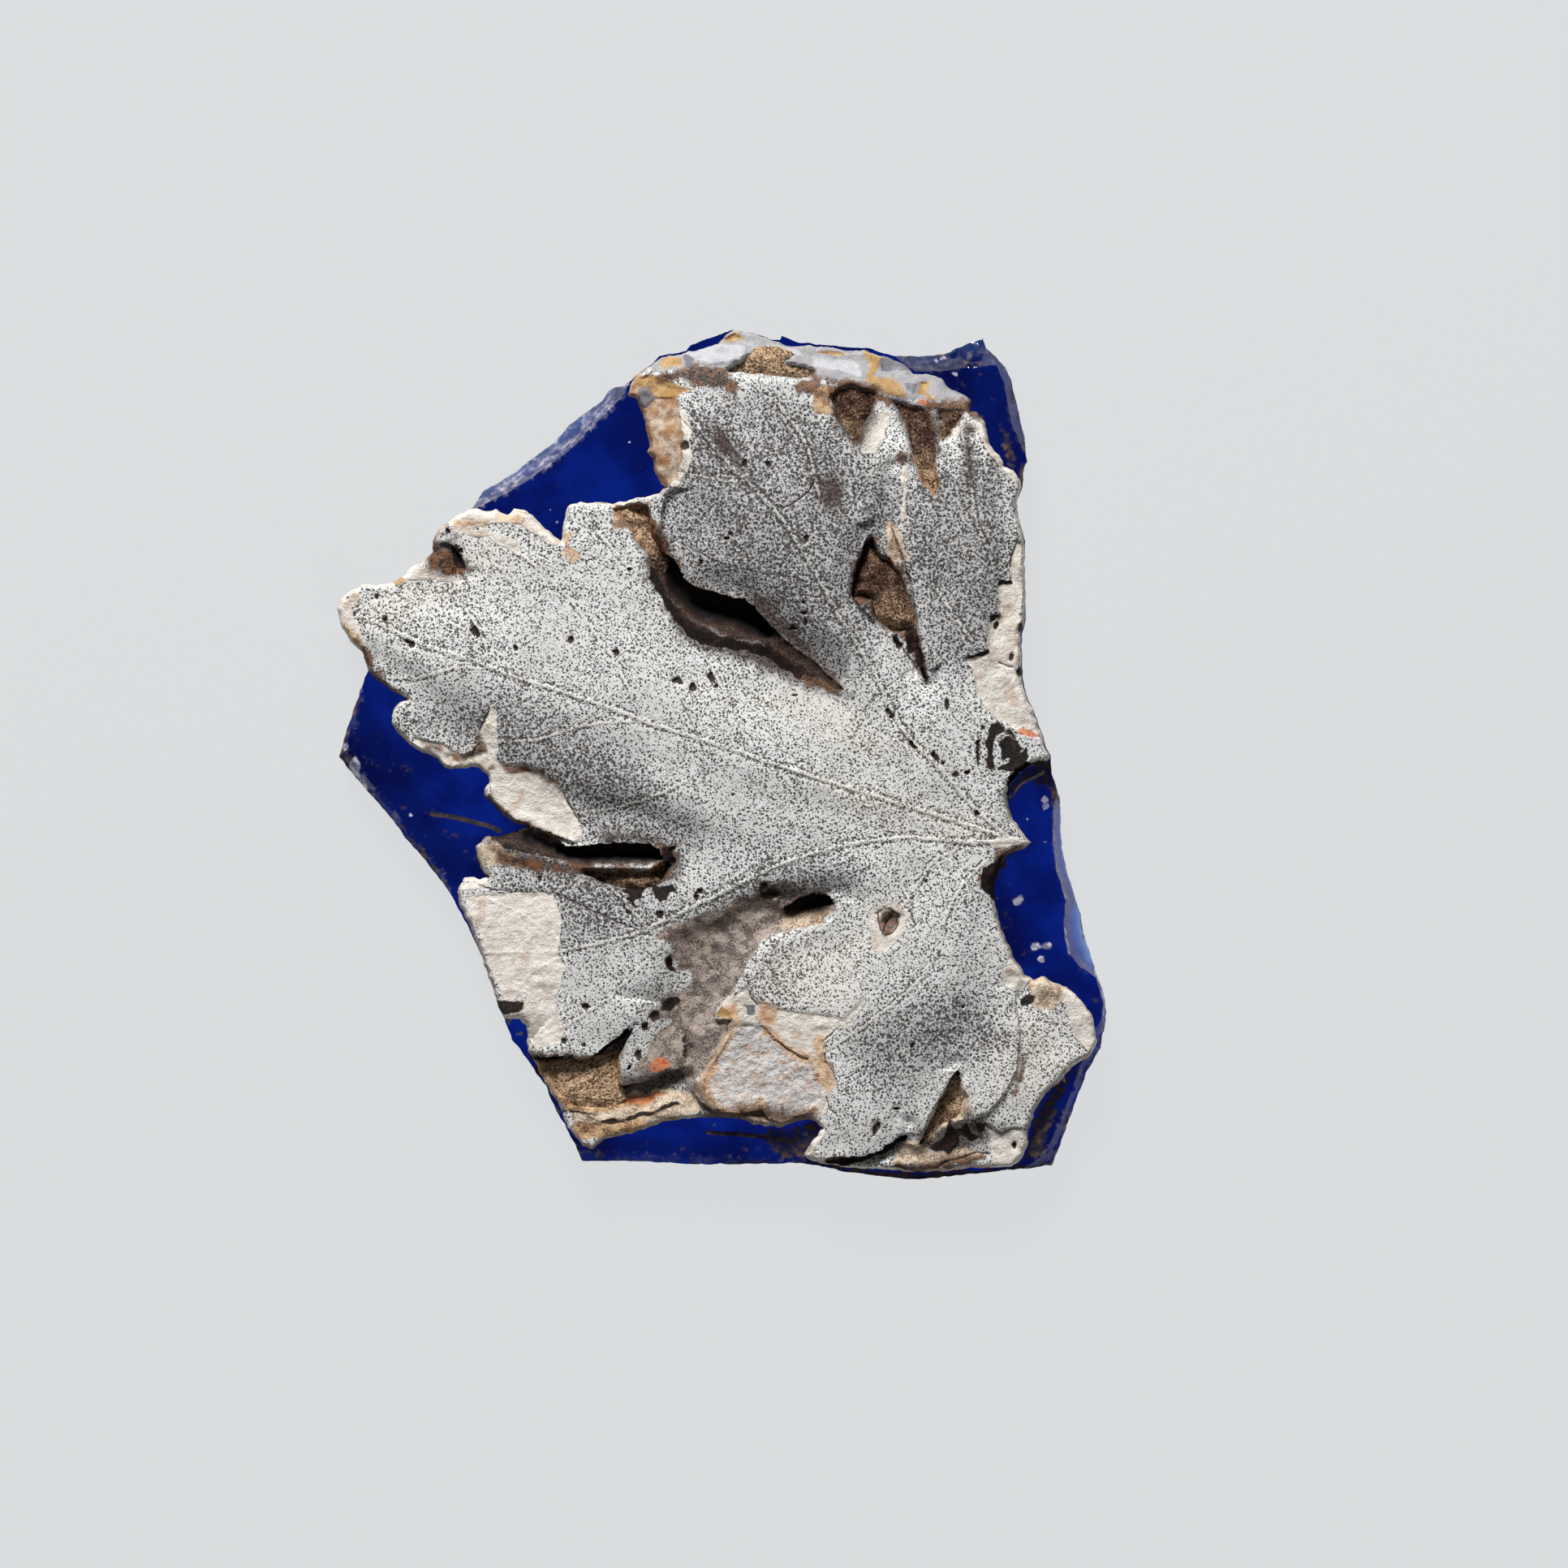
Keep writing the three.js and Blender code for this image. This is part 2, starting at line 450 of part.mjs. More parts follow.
// White glass: the leaf, its hollows and the break along the top
function leafGeometry() {
  const closed = true;
  const lines = [
    { points: offset(counterClockwise(leafOutline), -LEAF_EDGE_WIDTH), closed },
    ...hollows.flatMap(({ outline, bank, margin }) => [
      { points: offset(outline, margin), closed },
      { points: offset(outline, margin + bank), closed },
    ]),
    ...steps.flatMap(({ outline }) => [
      { points: outline, closed },
      { points: offset(outline, -STEP_EDGE - 0.1), closed },
    ]),
    ...veinLines.flatMap((line) => [
      { points: line, closed: false },
      { points: offset(line, VEIN_HALF_WIDTH + 0.05).slice(1, -1), closed: false },
      { points: offset(line, -VEIN_HALF_WIDTH - 0.05).slice(1, -1), closed: false },
    ]),
  ];
  return reliefSolid({ outline: leafOutline, lines, top: leafHeight, bottom: GROUND_THICKNESS });
}

// Blue glass: flat where the leaf stands on it, and bevelled along its breaks
const fragmentOutline = trace(FRAGMENT_OUTLINE);
const fragmentEdges = edges(fragmentOutline, true);
const breaks = BREAKS.map(({ fall, ridge, beyond }) => ({
  fall,
  ridge: trace(ridge),
  ridgeEdges: edges(trace(ridge), false),
  outline: counterClockwise(trace([...ridge, ...beyond])),
}));

function groundHeight(point) {
  const fromEdge = distanceTo(fragmentEdges, point);
  const fall = breaks.filter(({ outline }) => inside(point, outline)).map((face) => {
    const fromRidge = distanceTo(face.ridgeEdges, point);
    return (face.fall * fromRidge) / Math.max(fromRidge + fromEdge, NARROW_BREAK);
  });
  return GROUND_THICKNESS - Math.max(0, ...fall);
}

function groundGeometry() {
  const lines = breaks.map(({ ridge }) => ({ points: ridge, closed: false }));
  return reliefSolid({ outline: fragmentOutline, lines, fillStep: 3.2, top: groundHeight, bottom: 0 });
}

// Soil: a rough lump in each of its hollows, a little clear of the glass all round
function soilGeometry({ outline, floor, height }) {
  const base = GROUND_THICKNESS + floor + SOIL_LIFT;
  const lump = trace(outline);
  const lumpEdges = edges(lump, true);
  const top = (point) => {
    const swell = smooth(distanceTo(lumpEdges, point), 1.2);
    return base + height * (0.35 + 0.65 * swell * (0.6 + 0.4 * scatter(point.x, point.y)));
  };
  return reliefSolid({ outline: lump, fillStep: 0.95, top, bottom: base });
}

const blueGlass = new THREE.MeshStandardMaterial({ color: 0x021a86, roughness: 0.12, metalness: 0 });
const whiteGlass = new THREE.MeshStandardMaterial({ color: 0xc4c2bc, roughness: 0.85, metalness: 0 });
const soil = new THREE.MeshStandardMaterial({ color: 0x7d6248, roughness: 0.95, metalness: 0 });

function piece(name, geometry, material) {
  const mesh = new THREE.Mesh(geometry, material);
  mesh.name = name;
  return mesh;
}

const fragment = new THREE.Group();
fragment.add(piece('blue_glass_ground', groundGeometry(), blueGlass));
fragment.add(piece('white_glass_leaf', leafGeometry(), whiteGlass));
for (const lump of SOIL_LUMPS) fragment.add(piece(lump.name, soilGeometry(lump), soil));

export default fragment;
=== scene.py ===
# %% [markdown]
# # A broken piece of cameo glass with a vine leaf
#
# The real object is two layers of glass fused together: a translucent cobalt-blue ground, and on it an
# opaque white layer that a carver cut back until a vine leaf stood in relief. It was broken, buried and
# weathered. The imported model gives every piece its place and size. This lesson builds the surfaces over
# it: the grain of the weathered skin, the flaked patches, the veins, the soil and the clear blue glass.

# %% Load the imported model
import math

import bpy
import numpy as np
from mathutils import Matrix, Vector
from mathutils.geometry import delaunay_2d_cdt


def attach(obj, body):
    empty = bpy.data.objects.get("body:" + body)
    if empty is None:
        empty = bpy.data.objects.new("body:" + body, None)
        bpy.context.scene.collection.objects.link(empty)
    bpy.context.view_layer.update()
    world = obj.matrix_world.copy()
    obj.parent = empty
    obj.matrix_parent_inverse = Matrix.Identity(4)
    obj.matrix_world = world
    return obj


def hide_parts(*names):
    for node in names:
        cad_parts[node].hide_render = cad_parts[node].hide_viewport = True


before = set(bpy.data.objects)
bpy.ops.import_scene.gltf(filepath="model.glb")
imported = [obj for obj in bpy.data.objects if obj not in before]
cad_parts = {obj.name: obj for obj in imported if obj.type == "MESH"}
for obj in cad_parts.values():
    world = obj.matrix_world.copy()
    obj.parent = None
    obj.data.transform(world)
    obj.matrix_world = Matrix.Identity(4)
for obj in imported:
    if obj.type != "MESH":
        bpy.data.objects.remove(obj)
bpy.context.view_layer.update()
print("solids:", sorted(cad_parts))

# %% [markdown]
# ## One grid for every outline
#
# All outlines are read on the same square grid, laid over the straight-down view of the fragment,
# with x to the right and y down. One function turns grid places into millimetres in the model's frame,
# so a line drawn here lands exactly on the solid that it belongs to. Only the finished meshes are
# turned into metres.

# %% From grid places to millimetres
MM = 0.001
FRAGMENT_HEIGHT = 60.0
GROUND_THICKNESS = 3.0
GRID_TOP = 406
GRID_BOTTOM = 1454
GRID_LEFT = 414
GRID_RIGHT = 1365
GRID_STEP = FRAGMENT_HEIGHT / (GRID_BOTTOM - GRID_TOP)
GRID_MIDDLE = np.array([(GRID_LEFT + GRID_RIGHT) / 2, (GRID_TOP + GRID_BOTTOM) / 2])


def place(points):
    """Grid places as millimetres in the frame of the model."""
    return (np.array(points, float)[:, :2] - GRID_MIDDLE) * [1, -1] * GRID_STEP


print("one grid step is", round(GRID_STEP, 4), "mm")

# %% [markdown]
# ## Camera, light and floor
#
# The piece is seen from straight above, with a long lens, so that the leaf's relief hides nothing. The
# light is soft and comes from the top of the picture, low enough to model the relief. Cobalt glass this
# dark is only blue when light comes through it, so the floor under it glows a little, like a light table.

# %% Camera over the middle of the picture
PICTURE_SIDE = 1932
CAMERA_HEIGHT = 1.6
RELIEF_LEVEL = 0.0045

picture_middle = place([[PICTURE_SIDE / 2, PICTURE_SIDE / 2]])[0] * MM
camera_data = bpy.data.cameras.new("camera")
camera_data.sensor_fit = "HORIZONTAL"
picture_width = PICTURE_SIDE * GRID_STEP * MM
camera_data.angle = 2 * math.atan(picture_width / 2 / (CAMERA_HEIGHT - RELIEF_LEVEL))
camera_data.clip_end = 20
camera = bpy.data.objects.new("camera", camera_data)
camera.location = (picture_middle[0], picture_middle[1], CAMERA_HEIGHT)
bpy.context.scene.collection.objects.link(camera)
bpy.context.scene.camera = camera
print("the picture is", round(picture_width * 1000, 1), "mm wide")

# %% Soft lights
def soft_light(name, position, width, power, color=(1, 1, 1)):
    """A square lamp that faces the fragment."""
    data = bpy.data.lights.new(name, "AREA")
    data.shape = "SQUARE"
    data.size = width
    data.energy = power
    data.color = color
    lamp = bpy.data.objects.new(name, data)
    lamp.location = position
    lamp.rotation_euler = (-Vector(position)).to_track_quat("-Z", "Y").to_euler()
    bpy.context.scene.collection.objects.link(lamp)
    return lamp


soft_light("key", (-0.12, 0.55, 0.40), 0.2, 7.4)
soft_light("fill", (0.35, -0.55, 0.70), 0.4, 0.9)
world = bpy.data.worlds.new("studio")
world.use_nodes = True
world.node_tree.nodes["Background"].inputs["Color"].default_value = (0.97, 0.98, 1.0, 1)
world.node_tree.nodes["Background"].inputs["Strength"].default_value = 0.05
bpy.context.scene.world = world
bpy.context.scene.view_settings.view_transform = "Standard"

# %% [markdown]
# ## Shader maths as Python expressions
#
# A material here is mostly arithmetic on distances, such as how deep a place lies inside a flaked patch.
# The class below wraps a node's output, so that ordinary plus, minus and times add the Math nodes. Every
# other node comes from one method, which takes its type, its settings and its inputs.

# %% A small class for sockets and one for materials
class Value:
    """One output of a shader node, which can be used in sums."""

    def __init__(self, shader, socket):
        self.shader = shader
        self.socket = socket

    def math(self, operation, *others):
        inputs = dict(enumerate([self, *others]))
        return self.shader.node("ShaderNodeMath", {"operation": operation}, inputs)

    def __add__(self, other):
        return self.math("ADD", other)

    def __mul__(self, other):
        return self.math("MULTIPLY", other)

    def __sub__(self, other):
        return self.math("SUBTRACT", other)

    def __rsub__(self, other):
        return self.shader.node("ShaderNodeMath", {"operation": "SUBTRACT"}, {0: other, 1: self})

    __radd__ = __add__
    __rmul__ = __mul__

    def at_least(self, other):
        return self.math("MAXIMUM", other)

    def at_most(self, other):
        return self.math("MINIMUM", other)

    def rise(self, low, high):
        """0 below low, 1 above high, and a smooth rise between them."""
        settings = {"interpolation_type": "SMOOTHSTEP"}
        inputs = {"Value": self, "From Min": low, "From Max": high}
        return self.shader.node("ShaderNodeMapRange", settings, inputs)

    def fall(self, low, high):
        return 1 - self.rise(low, high)


class Shader:
    """A material and its nodes."""

    def __init__(self, name):
        self.material = bpy.data.materials.new(name)
        self.material.use_nodes = True
        self.tree = self.material.node_tree
        self.tree.nodes.clear()

    def node(self, kind, settings=None, inputs=None, output=0):
        made = self.tree.nodes.new(kind)
        for key, value in (settings or {}).items():
            setattr(made, key, value)
        for key, value in (inputs or {}).items():
            if isinstance(value, Value):
                self.tree.links.new(value.socket, made.inputs[key])
            else:
                made.inputs[key].default_value = value
        return Value(self, made.outputs[output])

    def layer(self, name):
        """A number that the mesh carries at every point."""
        settings = {"attribute_name": name, "attribute_type": "GEOMETRY"}
        return self.node("ShaderNodeAttribute", settings, output="Fac")

    def mix(self, factor, below, above):
        """The colour below, covered by the colour above where the factor is 1."""
        made = self.tree.nodes.new("ShaderNodeMix")
        made.data_type = "RGBA"
        for socket, value in zip((made.inputs[0], made.inputs[6], made.inputs[7]), (factor, below, above)):
            if isinstance(value, Value):
                self.tree.links.new(value.socket, socket)
            elif socket is made.inputs[0]:
                socket.default_value = value
            else:
                socket.default_value = (*value, 1)
        return Value(self, made.outputs[2])

    def grain(self, size, detail=2.0, roughness=0.55, stretch=(1, 1, 1)):
        """Cloudy noise from 0 to 1, with clouds about size millimetres across."""
        where = self.node("ShaderNodeTexCoord", output="Object")
        scaled = self.node("ShaderNodeVectorMath", {"operation": "MULTIPLY"}, {0: where, 1: stretch})
        inputs = {"Vector": scaled, "Scale": 1 / (size * MM), "Detail": detail, "Roughness": roughness}
        return self.node("ShaderNodeTexNoise", {"noise_dimensions": "3D"}, inputs)

    def dots(self, size, shift=0.0):
        """Distance from the nearest of scattered points, in units of their spacing."""
        where = self.node("ShaderNodeTexCoord", output="Object")
        moved = self.node("ShaderNodeVectorMath", {"operation": "ADD"}, {0: where, 1: (shift, shift, 0)})
        inputs = {"Vector": moved, "Scale": 1 / (size * MM), "Randomness": 1.0}
        settings = {"voronoi_dimensions": "3D", "feature": "F1"}
        return self.node("ShaderNodeTexVoronoi", settings, inputs, output="Distance")

    def finish(self, surface, volume=None):
        end = self.tree.nodes.new("ShaderNodeOutputMaterial")
        self.tree.links.new(surface.socket, end.inputs["Surface"])
        if volume:
            self.tree.links.new(volume.socket, end.inputs["Volume"])
        return self.material


print("shader helpers ready")

# %% [markdown]
# ## A pale floor
#
# The floor is white card that is lit and also glows, so the picture's ground is even and the glass above
# it is lit from below. It is staging, not part of the object.

# %% Floor
FLOOR_GLOW = (0.675, 0.69, 0.705)

card = Shader("pale_card")
card_surface = card.node("ShaderNodeBsdfPrincipled", inputs={
    "Base Color": (0.03, 0.03, 0.03, 1), "Roughness": 0.95, "Specular IOR Level": 0.1,
    "Emission Color": (*FLOOR_GLOW, 1), "Emission Strength": 1.0,
})
floor_mesh = bpy.data.meshes.new("floor")
reach = 3.0
corners = [(-reach, -reach, 0), (reach, -reach, 0), (reach, reach, 0), (-reach, reach, 0)]
floor_mesh.from_pydata(corners, [], [(0, 1, 2, 3)])
floor_mesh.materials.append(card.finish(card_surface))
floor = bpy.data.objects.new("floor", floor_mesh)
floor.location.z = -0.0001
bpy.context.scene.collection.objects.link(floor)
print("floor ready")

# %% [markdown]
# ## Measuring on the plane
#
# Everything on the leaf is a matter of nearness: a vein is what lies near a line, and a flaked patch is
# what lies inside an outline. Two functions answer that for all mesh points at once. Sorting the points
# first means that each short edge is only tried against the points beside it.

# %% Noise, ragged lines and distances
TINY = 1e-9


def noise(xy, size, seed=0):
    """Smooth random values from -1 to 1, with bumps about size millimetres across."""
    cell = xy / size + seed * 17.31
    corner = np.floor(cell)
    part = cell - corner
    part = part * part * (3 - 2 * part)

    def value(dx, dy):
        mixed = np.sin((corner[:, 0] + dx) * 127.1 + (corner[:, 1] + dy) * 311.7 + seed) * 43758.5453
        return (mixed - np.floor(mixed)) * 2 - 1

    low = value(0, 0) * (1 - part[:, 0]) + value(1, 0) * part[:, 0]
    high = value(0, 1) * (1 - part[:, 0]) + value(1, 1) * part[:, 0]
    return low * (1 - part[:, 1]) + high * part[:, 1]


def rough(xy, size, octaves=3, seed=0):
    """Noise with finer and weaker noise laid over it."""
    return sum(noise(xy, size / 2 ** i, seed + i) / 2 ** i for i in range(octaves))


def smooth(value, low, high):
    t = np.clip((value - low) / (high - low), 0, 1)
    return t * t * (3 - 2 * t)


def ragged(points, step=0.2, closed=True, amount=0.07, grain=0.45):
    """A line through grid places as a chipped, uneven edge with points a step apart."""
    corners = place(points)
    ends = np.roll(corners, -1, axis=0) if closed else corners[1:]
    walked = []
    for start, end in zip(corners, ends):
        count = max(1, math.ceil(np.linalg.norm(end - start) / step))
        walked.append(start + (end - start) * np.arange(count)[:, None] / count)
    if not closed:
        walked.append(corners[-1:])
    line = np.concatenate(walked)
    wander = np.stack([noise(line, grain, 3) + noise(line, grain / 3, 5) * 0.4,
                       noise(line, grain, 4) + noise(line, grain / 3, 6) * 0.4], axis=1)
    return line + wander * amount


def distance(xy, line, closed=False, reach=1.5):
    """How far each point is from a line, up to reach."""
    order = np.argsort(xy[:, 0])
    points = xy[order]
    best = np.full(len(points), float(reach) ** 2)
    starts = line if closed else line[:-1]
    ends = np.roll(line, -1, axis=0) if closed else line[1:]
    first = np.searchsorted(points[:, 0], np.minimum(starts[:, 0], ends[:, 0]) - reach)
    last = np.searchsorted(points[:, 0], np.maximum(starts[:, 0], ends[:, 0]) + reach)
    for start, end, a, b in zip(starts, ends, first, last):
        along = end - start
        away = points[a:b] - start
        t = np.clip(away @ along / max(along @ along, 1e-12), 0, 1)
        gap = away - t[:, None] * along
        best[a:b] = np.minimum(best[a:b], (gap * gap).sum(axis=1))
    found = np.empty(len(points))
    found[order] = np.sqrt(best)
    return found


def inside(xy, outline):
    """Which points lie inside an outline."""
    order = np.argsort(xy[:, 1])
    points = xy[order]
    odd = np.zeros(len(points), bool)
    ends = np.roll(outline, -1, axis=0)
    first = np.searchsorted(points[:, 1], np.minimum(outline[:, 1], ends[:, 1]))
    last = np.searchsorted(points[:, 1], np.maximum(outline[:, 1], ends[:, 1]))
    for start, end, a, b in zip(outline, ends, first, last):
        if a == b:
            continue
        x = start[0] + (points[a:b, 1] - start[1]) * (end[0] - start[0]) / (end[1] - start[1])
        odd[a:b] ^= points[a:b, 0] < x
    found = np.empty(len(points), bool)
    found[order] = odd
    return found


def depth(xy, outline, reach=1.5):
    """How deep points lie inside an outline: negative outside it."""
    gap = distance(xy, outline, closed=True, reach=reach)
    return np.where(inside(xy, outline), gap, -gap)


def deepest(xy, outlines, reach=0.8, step=0.3):
    """How deep points lie inside the nearest of some patches, each with a ragged edge."""
    found = np.full(len(xy), -reach)
    for outline in outlines:
        found = np.maximum(found, depth(xy, ragged(outline, step=step, amount=0.14), reach=reach))
    return found


def round_marks(xy, marks, wander=0.08):
    """Above 0 within a mark, up to 1 at its middle. A mark has a place, a half width and a half height."""
    found = np.full(len(xy), -1.0)
    moved = xy + np.stack([noise(xy, 0.25, 31), noise(xy, 0.25, 32)], axis=1) * wander
    for x, y, wide, high in marks:
        away = (moved - place([(x, y)])[0]) / (np.array([wide, high]) * GRID_STEP)
        found = np.maximum(found, 1 - np.hypot(*away.T))
    return found


def shifted(outline, inwards):
    """An outline moved inwards, without the points that would fold over in a narrow corner."""
    along = np.roll(outline, -1, axis=0) - np.roll(outline, 1, axis=0)
    along /= np.maximum(np.linalg.norm(along, axis=1), TINY)[:, None]
    x, y = outline.T
    turned = np.sum(x * np.roll(y, -1) - np.roll(x, -1) * y)
    side = np.stack([-along[:, 1], along[:, 0]], axis=1) * np.sign(turned)
    moved = outline + side * inwards
    clear = distance(moved, outline, closed=True, reach=abs(inwards) * 2) > abs(inwards) * 0.85
    return moved[clear]


print("measuring ready")

# %% [markdown]
# ## Meshes from a relief
#
# Each glass layer is a relief over a flat outline, so its mesh starts as points on the plane. A grid of
# quads would cut the leaf's outline into stairs. A Delaunay triangulation takes points from anywhere, so
# the outline and every cliff get rows of their own points, and an even fill takes the rest. The top is
# lifted to its height, upright walls close the sides and a flat face closes the underside.
#
# Marks that follow the rim must not run on over the underside, because clear glass shows it from above.
# So the lowest ring of points takes the middle value of each layer.

# %% Build a closed relief
TRIANGLE_ROW = 0.866
FILL_SHAKE = 0.18
SHARP_ANGLE = math.radians(50)


def even_fill(outline, step):
    """Points in an even triangular pattern over an outline's box, each a little off its place."""
    low = outline.min(axis=0)
    high = outline.max(axis=0)
    rows = int((high[1] - low[1]) / (step * TRIANGLE_ROW)) + 1
    columns = int((high[0] - low[0]) / step) + 1
    row, column = np.meshgrid(np.arange(rows), np.arange(columns), indexing="ij")
    x = low[0] + (column + 0.5 * (row % 2)) * step
    y = low[1] + row * step * TRIANGLE_ROW
    grid = np.stack([x.ravel(), y.ravel()], axis=1)
    off = np.stack([noise(grid, step * 0.9, 21), noise(grid, step * 0.9, 22)], axis=1)
    return grid + off * step * FILL_SHAKE


def thinned(points, spacing):
    """Points in their order, without those that are nearer than spacing to an earlier one."""
    cells = {}
    kept = []
    keys = np.floor(points / spacing).astype(int)
    for index, (point, (i, j)) in enumerate(zip(points.tolist(), keys.tolist())):
        beside = (cells.get((i + di, j + dj)) for di in (-1, 0, 1) for dj in (-1, 0, 1))
        if any(other and math.dist(other, point) < spacing for other in beside):
            continue
        cells[i, j] = point
        kept.append(index)
    return points[kept]


def triangles_inside(points, edges, outline):
    """Points and triangles that fill an outline."""
    joined = delaunay_2d_cdt([Vector(point) for point in points], edges, [], 0, 1e-7)
    spots = np.array([tuple(point) for point in joined[0]])
    faces = np.array([face for face in joined[2] if len(face) == 3])
    middles = spots[faces].mean(axis=1)
    faces = faces[inside(middles, outline)]
    a, b, c = (spots[faces[:, i]] for i in range(3))
    turn = (b - a)[:, 0] * (c - a)[:, 1] - (b - a)[:, 1] * (c - a)[:, 0]
    faces[turn < 0] = faces[turn < 0][:, ::-1]
    faces = faces[np.abs(turn) > TINY]
    used = np.unique(faces)
    renumbered = np.full(len(spots), -1)
    renumbered[used] = np.arange(len(used))
    return spots[used], renumbered[faces]


def rim_edges(faces):
    """The edges that belong to one triangle only, each in the direction that its triangle runs."""
    sides = np.concatenate([faces[:, [0, 1]], faces[:, [1, 2]], faces[:, [2, 0]]])
    forward = {(a, b) for a, b in sides.tolist()}
    return [(a, b) for a, b in forward if (b, a) not in forward]


def relief(name, outline, lines, fill_step, surface, base, wall_rows=1, wall_dent=None):
    """A closed mesh object: a relief on top, walls along the outline and a flat underside."""
    rows = [outline, *lines]
    fill = even_fill(outline, fill_step)
    fill = fill[depth(fill, outline, reach=fill_step) > fill_step * 0.45]
    extra = thinned(np.concatenate([*rows[1:], fill]), fill_step * 0.5)
    extra = extra[depth(extra, outline, reach=0.2) > 0.03]
    points = np.concatenate([outline, extra])
    count = len(outline)
    edges = [(i, (i + 1) % count) for i in range(count)]
    spots, faces = triangles_inside(points, edges, outline)
    heights, layers = surface(spots)
    rim = rim_edges(faces)
    rim_points = sorted({i for edge in rim for i in edge})
    number = {point: i for i, point in enumerate(rim_points)}
    rim_spots = spots[rim_points]
    after = {a: b for a, b in rim}
    before = {b: a for a, b in rim}
    along = np.array([spots[after[i]] - spots[before[i]] for i in rim_points])
    along /= np.maximum(np.linalg.norm(along, axis=1), TINY)[:, None]
    inwards = np.stack([-along[:, 1], along[:, 0]], axis=1)
    rings = [np.column_stack([spots, heights])]
    ring_starts = []
    total = len(spots)
    for row in range(1, wall_rows + 1):
        t = row / wall_rows
        level = heights[rim_points] * (1 - t) + base * t
        dent = wall_dent(rim_spots, t) if wall_dent and row < wall_rows else np.zeros(len(rim_points))
        rings.append(np.column_stack([rim_spots + inwards * dent[:, None], level]))
        ring_starts.append(total)
        total += len(rim_points)
    all_faces = [faces]
    for row, start in enumerate(ring_starts):
        def above(point):
            return point if row == 0 else ring_starts[row - 1] + number[point]
        wall = [(above(a), start + number[a], start + number[b]) for a, b in rim]
        wall += [(above(a), start + number[b], above(b)) for a, b in rim]
        all_faces.append(np.array(wall))
    under_spots, under_faces = triangles_inside(rim_spots, [(number[a], number[b]) for a, b in rim], outline)
    if len(under_spots) == len(rim_spots):
        all_faces.append(ring_starts[-1] + under_faces[:, ::-1])
    else:
        print(name, "has an underside that doesn't fit:", len(under_spots), "of", len(rim_spots))
    places = np.concatenate(rings)
    mesh = bpy.data.meshes.new(name)
    mesh.from_pydata(places * MM, [], np.concatenate(all_faces).tolist())
    for layer, values in layers.items():
        attribute = mesh.attributes.new(layer, "FLOAT", "POINT")
        beside = values[rim_points]
        below = beside if wall_rows == 1 else np.full(len(beside), np.median(values))
        around = np.concatenate([values] + [beside] * (wall_rows - 1) + [below])
        attribute.data.foreach_set("value", around.astype(np.float32))
    mesh.shade_smooth()
    mesh.set_sharp_from_angle(angle=SHARP_ANGLE)
    made = bpy.data.objects.new(name, mesh)
    bpy.context.scene.collection.objects.link(made)
    print(name, "has", len(mesh.polygons), "triangles")
    return made


print("relief builder ready")

# %% [markdown]
# ## Outlines
#
# The blue layer shows all round the leaf where the carver cleared the white away, and it ends in old
# breaks. The white layer ends in carved teeth on the left and right, and in breaks along the top and the
# right side. Both outlines are traced clockwise, closely enough for every tooth.

# %% Outline of the blue glass
LEAF_LEFT_TIP = [
    (453, 826), (450, 812), (446, 803), (431, 790), (420, 770), (416, 757), (415, 749), (419, 738),
    (428, 731), (438, 726), (444, 719), (457, 721), (482, 719), (493, 712), (508, 699), (519, 693),
    (527, 686), (534, 680), (533, 668), (535, 660), (541, 653), (560, 637), (572, 630), (581, 625),
]
FRAGMENT_OUTLINE = [
    (902, 406), (912, 409), (935, 412), (950, 418), (960, 419), (963, 414), (985, 421), (1020, 425),
    (1075, 429), (1090, 435), (1105, 438), (1150, 438), (1165, 435), (1192, 423), (1212, 417), (1216, 428),
    (1228, 440), (1240, 454), (1247, 470), (1256, 510), (1264, 545), (1265, 570), (1261, 583), (1260, 600),
    (1252, 620), (1255, 640), (1264, 667), (1262, 692), (1264, 763), (1259, 787), (1260, 830), (1264, 854),
    (1277, 883), (1288, 915), (1295, 933), (1296, 954), (1306, 982), (1309, 1044), (1315, 1072),
    (1332, 1128), (1339, 1160), (1350, 1195), (1360, 1226), (1364, 1247), (1356, 1292), (1339, 1323),
    (1316, 1384), (1303, 1420), (1296, 1436), (1268, 1440), (1200, 1446), (1160, 1451), (1130, 1454),
    (1080, 1449), (1040, 1444), (1010, 1437), (985, 1433), (960, 1434), (860, 1435), (780, 1431), (717, 1431),
    (710, 1415), (695, 1385), (685, 1370), (672, 1338), (645, 1300), (630, 1280), (620, 1250), (607, 1220),
    (592, 1175), (570, 1130), (555, 1102), (535, 1075), (522, 1058), (497, 1030), (485, 1013), (455, 978),
    (425, 943), (418, 932), (422, 915), (432, 883), (447, 840),
    *LEAF_LEFT_TIP,
    (590, 612), (598, 602), (608, 597), (632, 583), (655, 564), (676, 549), (684, 542), (692, 533),
    (702, 522), (722, 507), (742, 492), (749, 481), (758, 476), (770, 474), (784, 462), (805, 447),
    (812, 438), (845, 432), (852, 424), (862, 420), (890, 411),
]
fragment_outline = ragged(FRAGMENT_OUTLINE, amount=0.05)
print("the blue outline has", len(fragment_outline), "points")

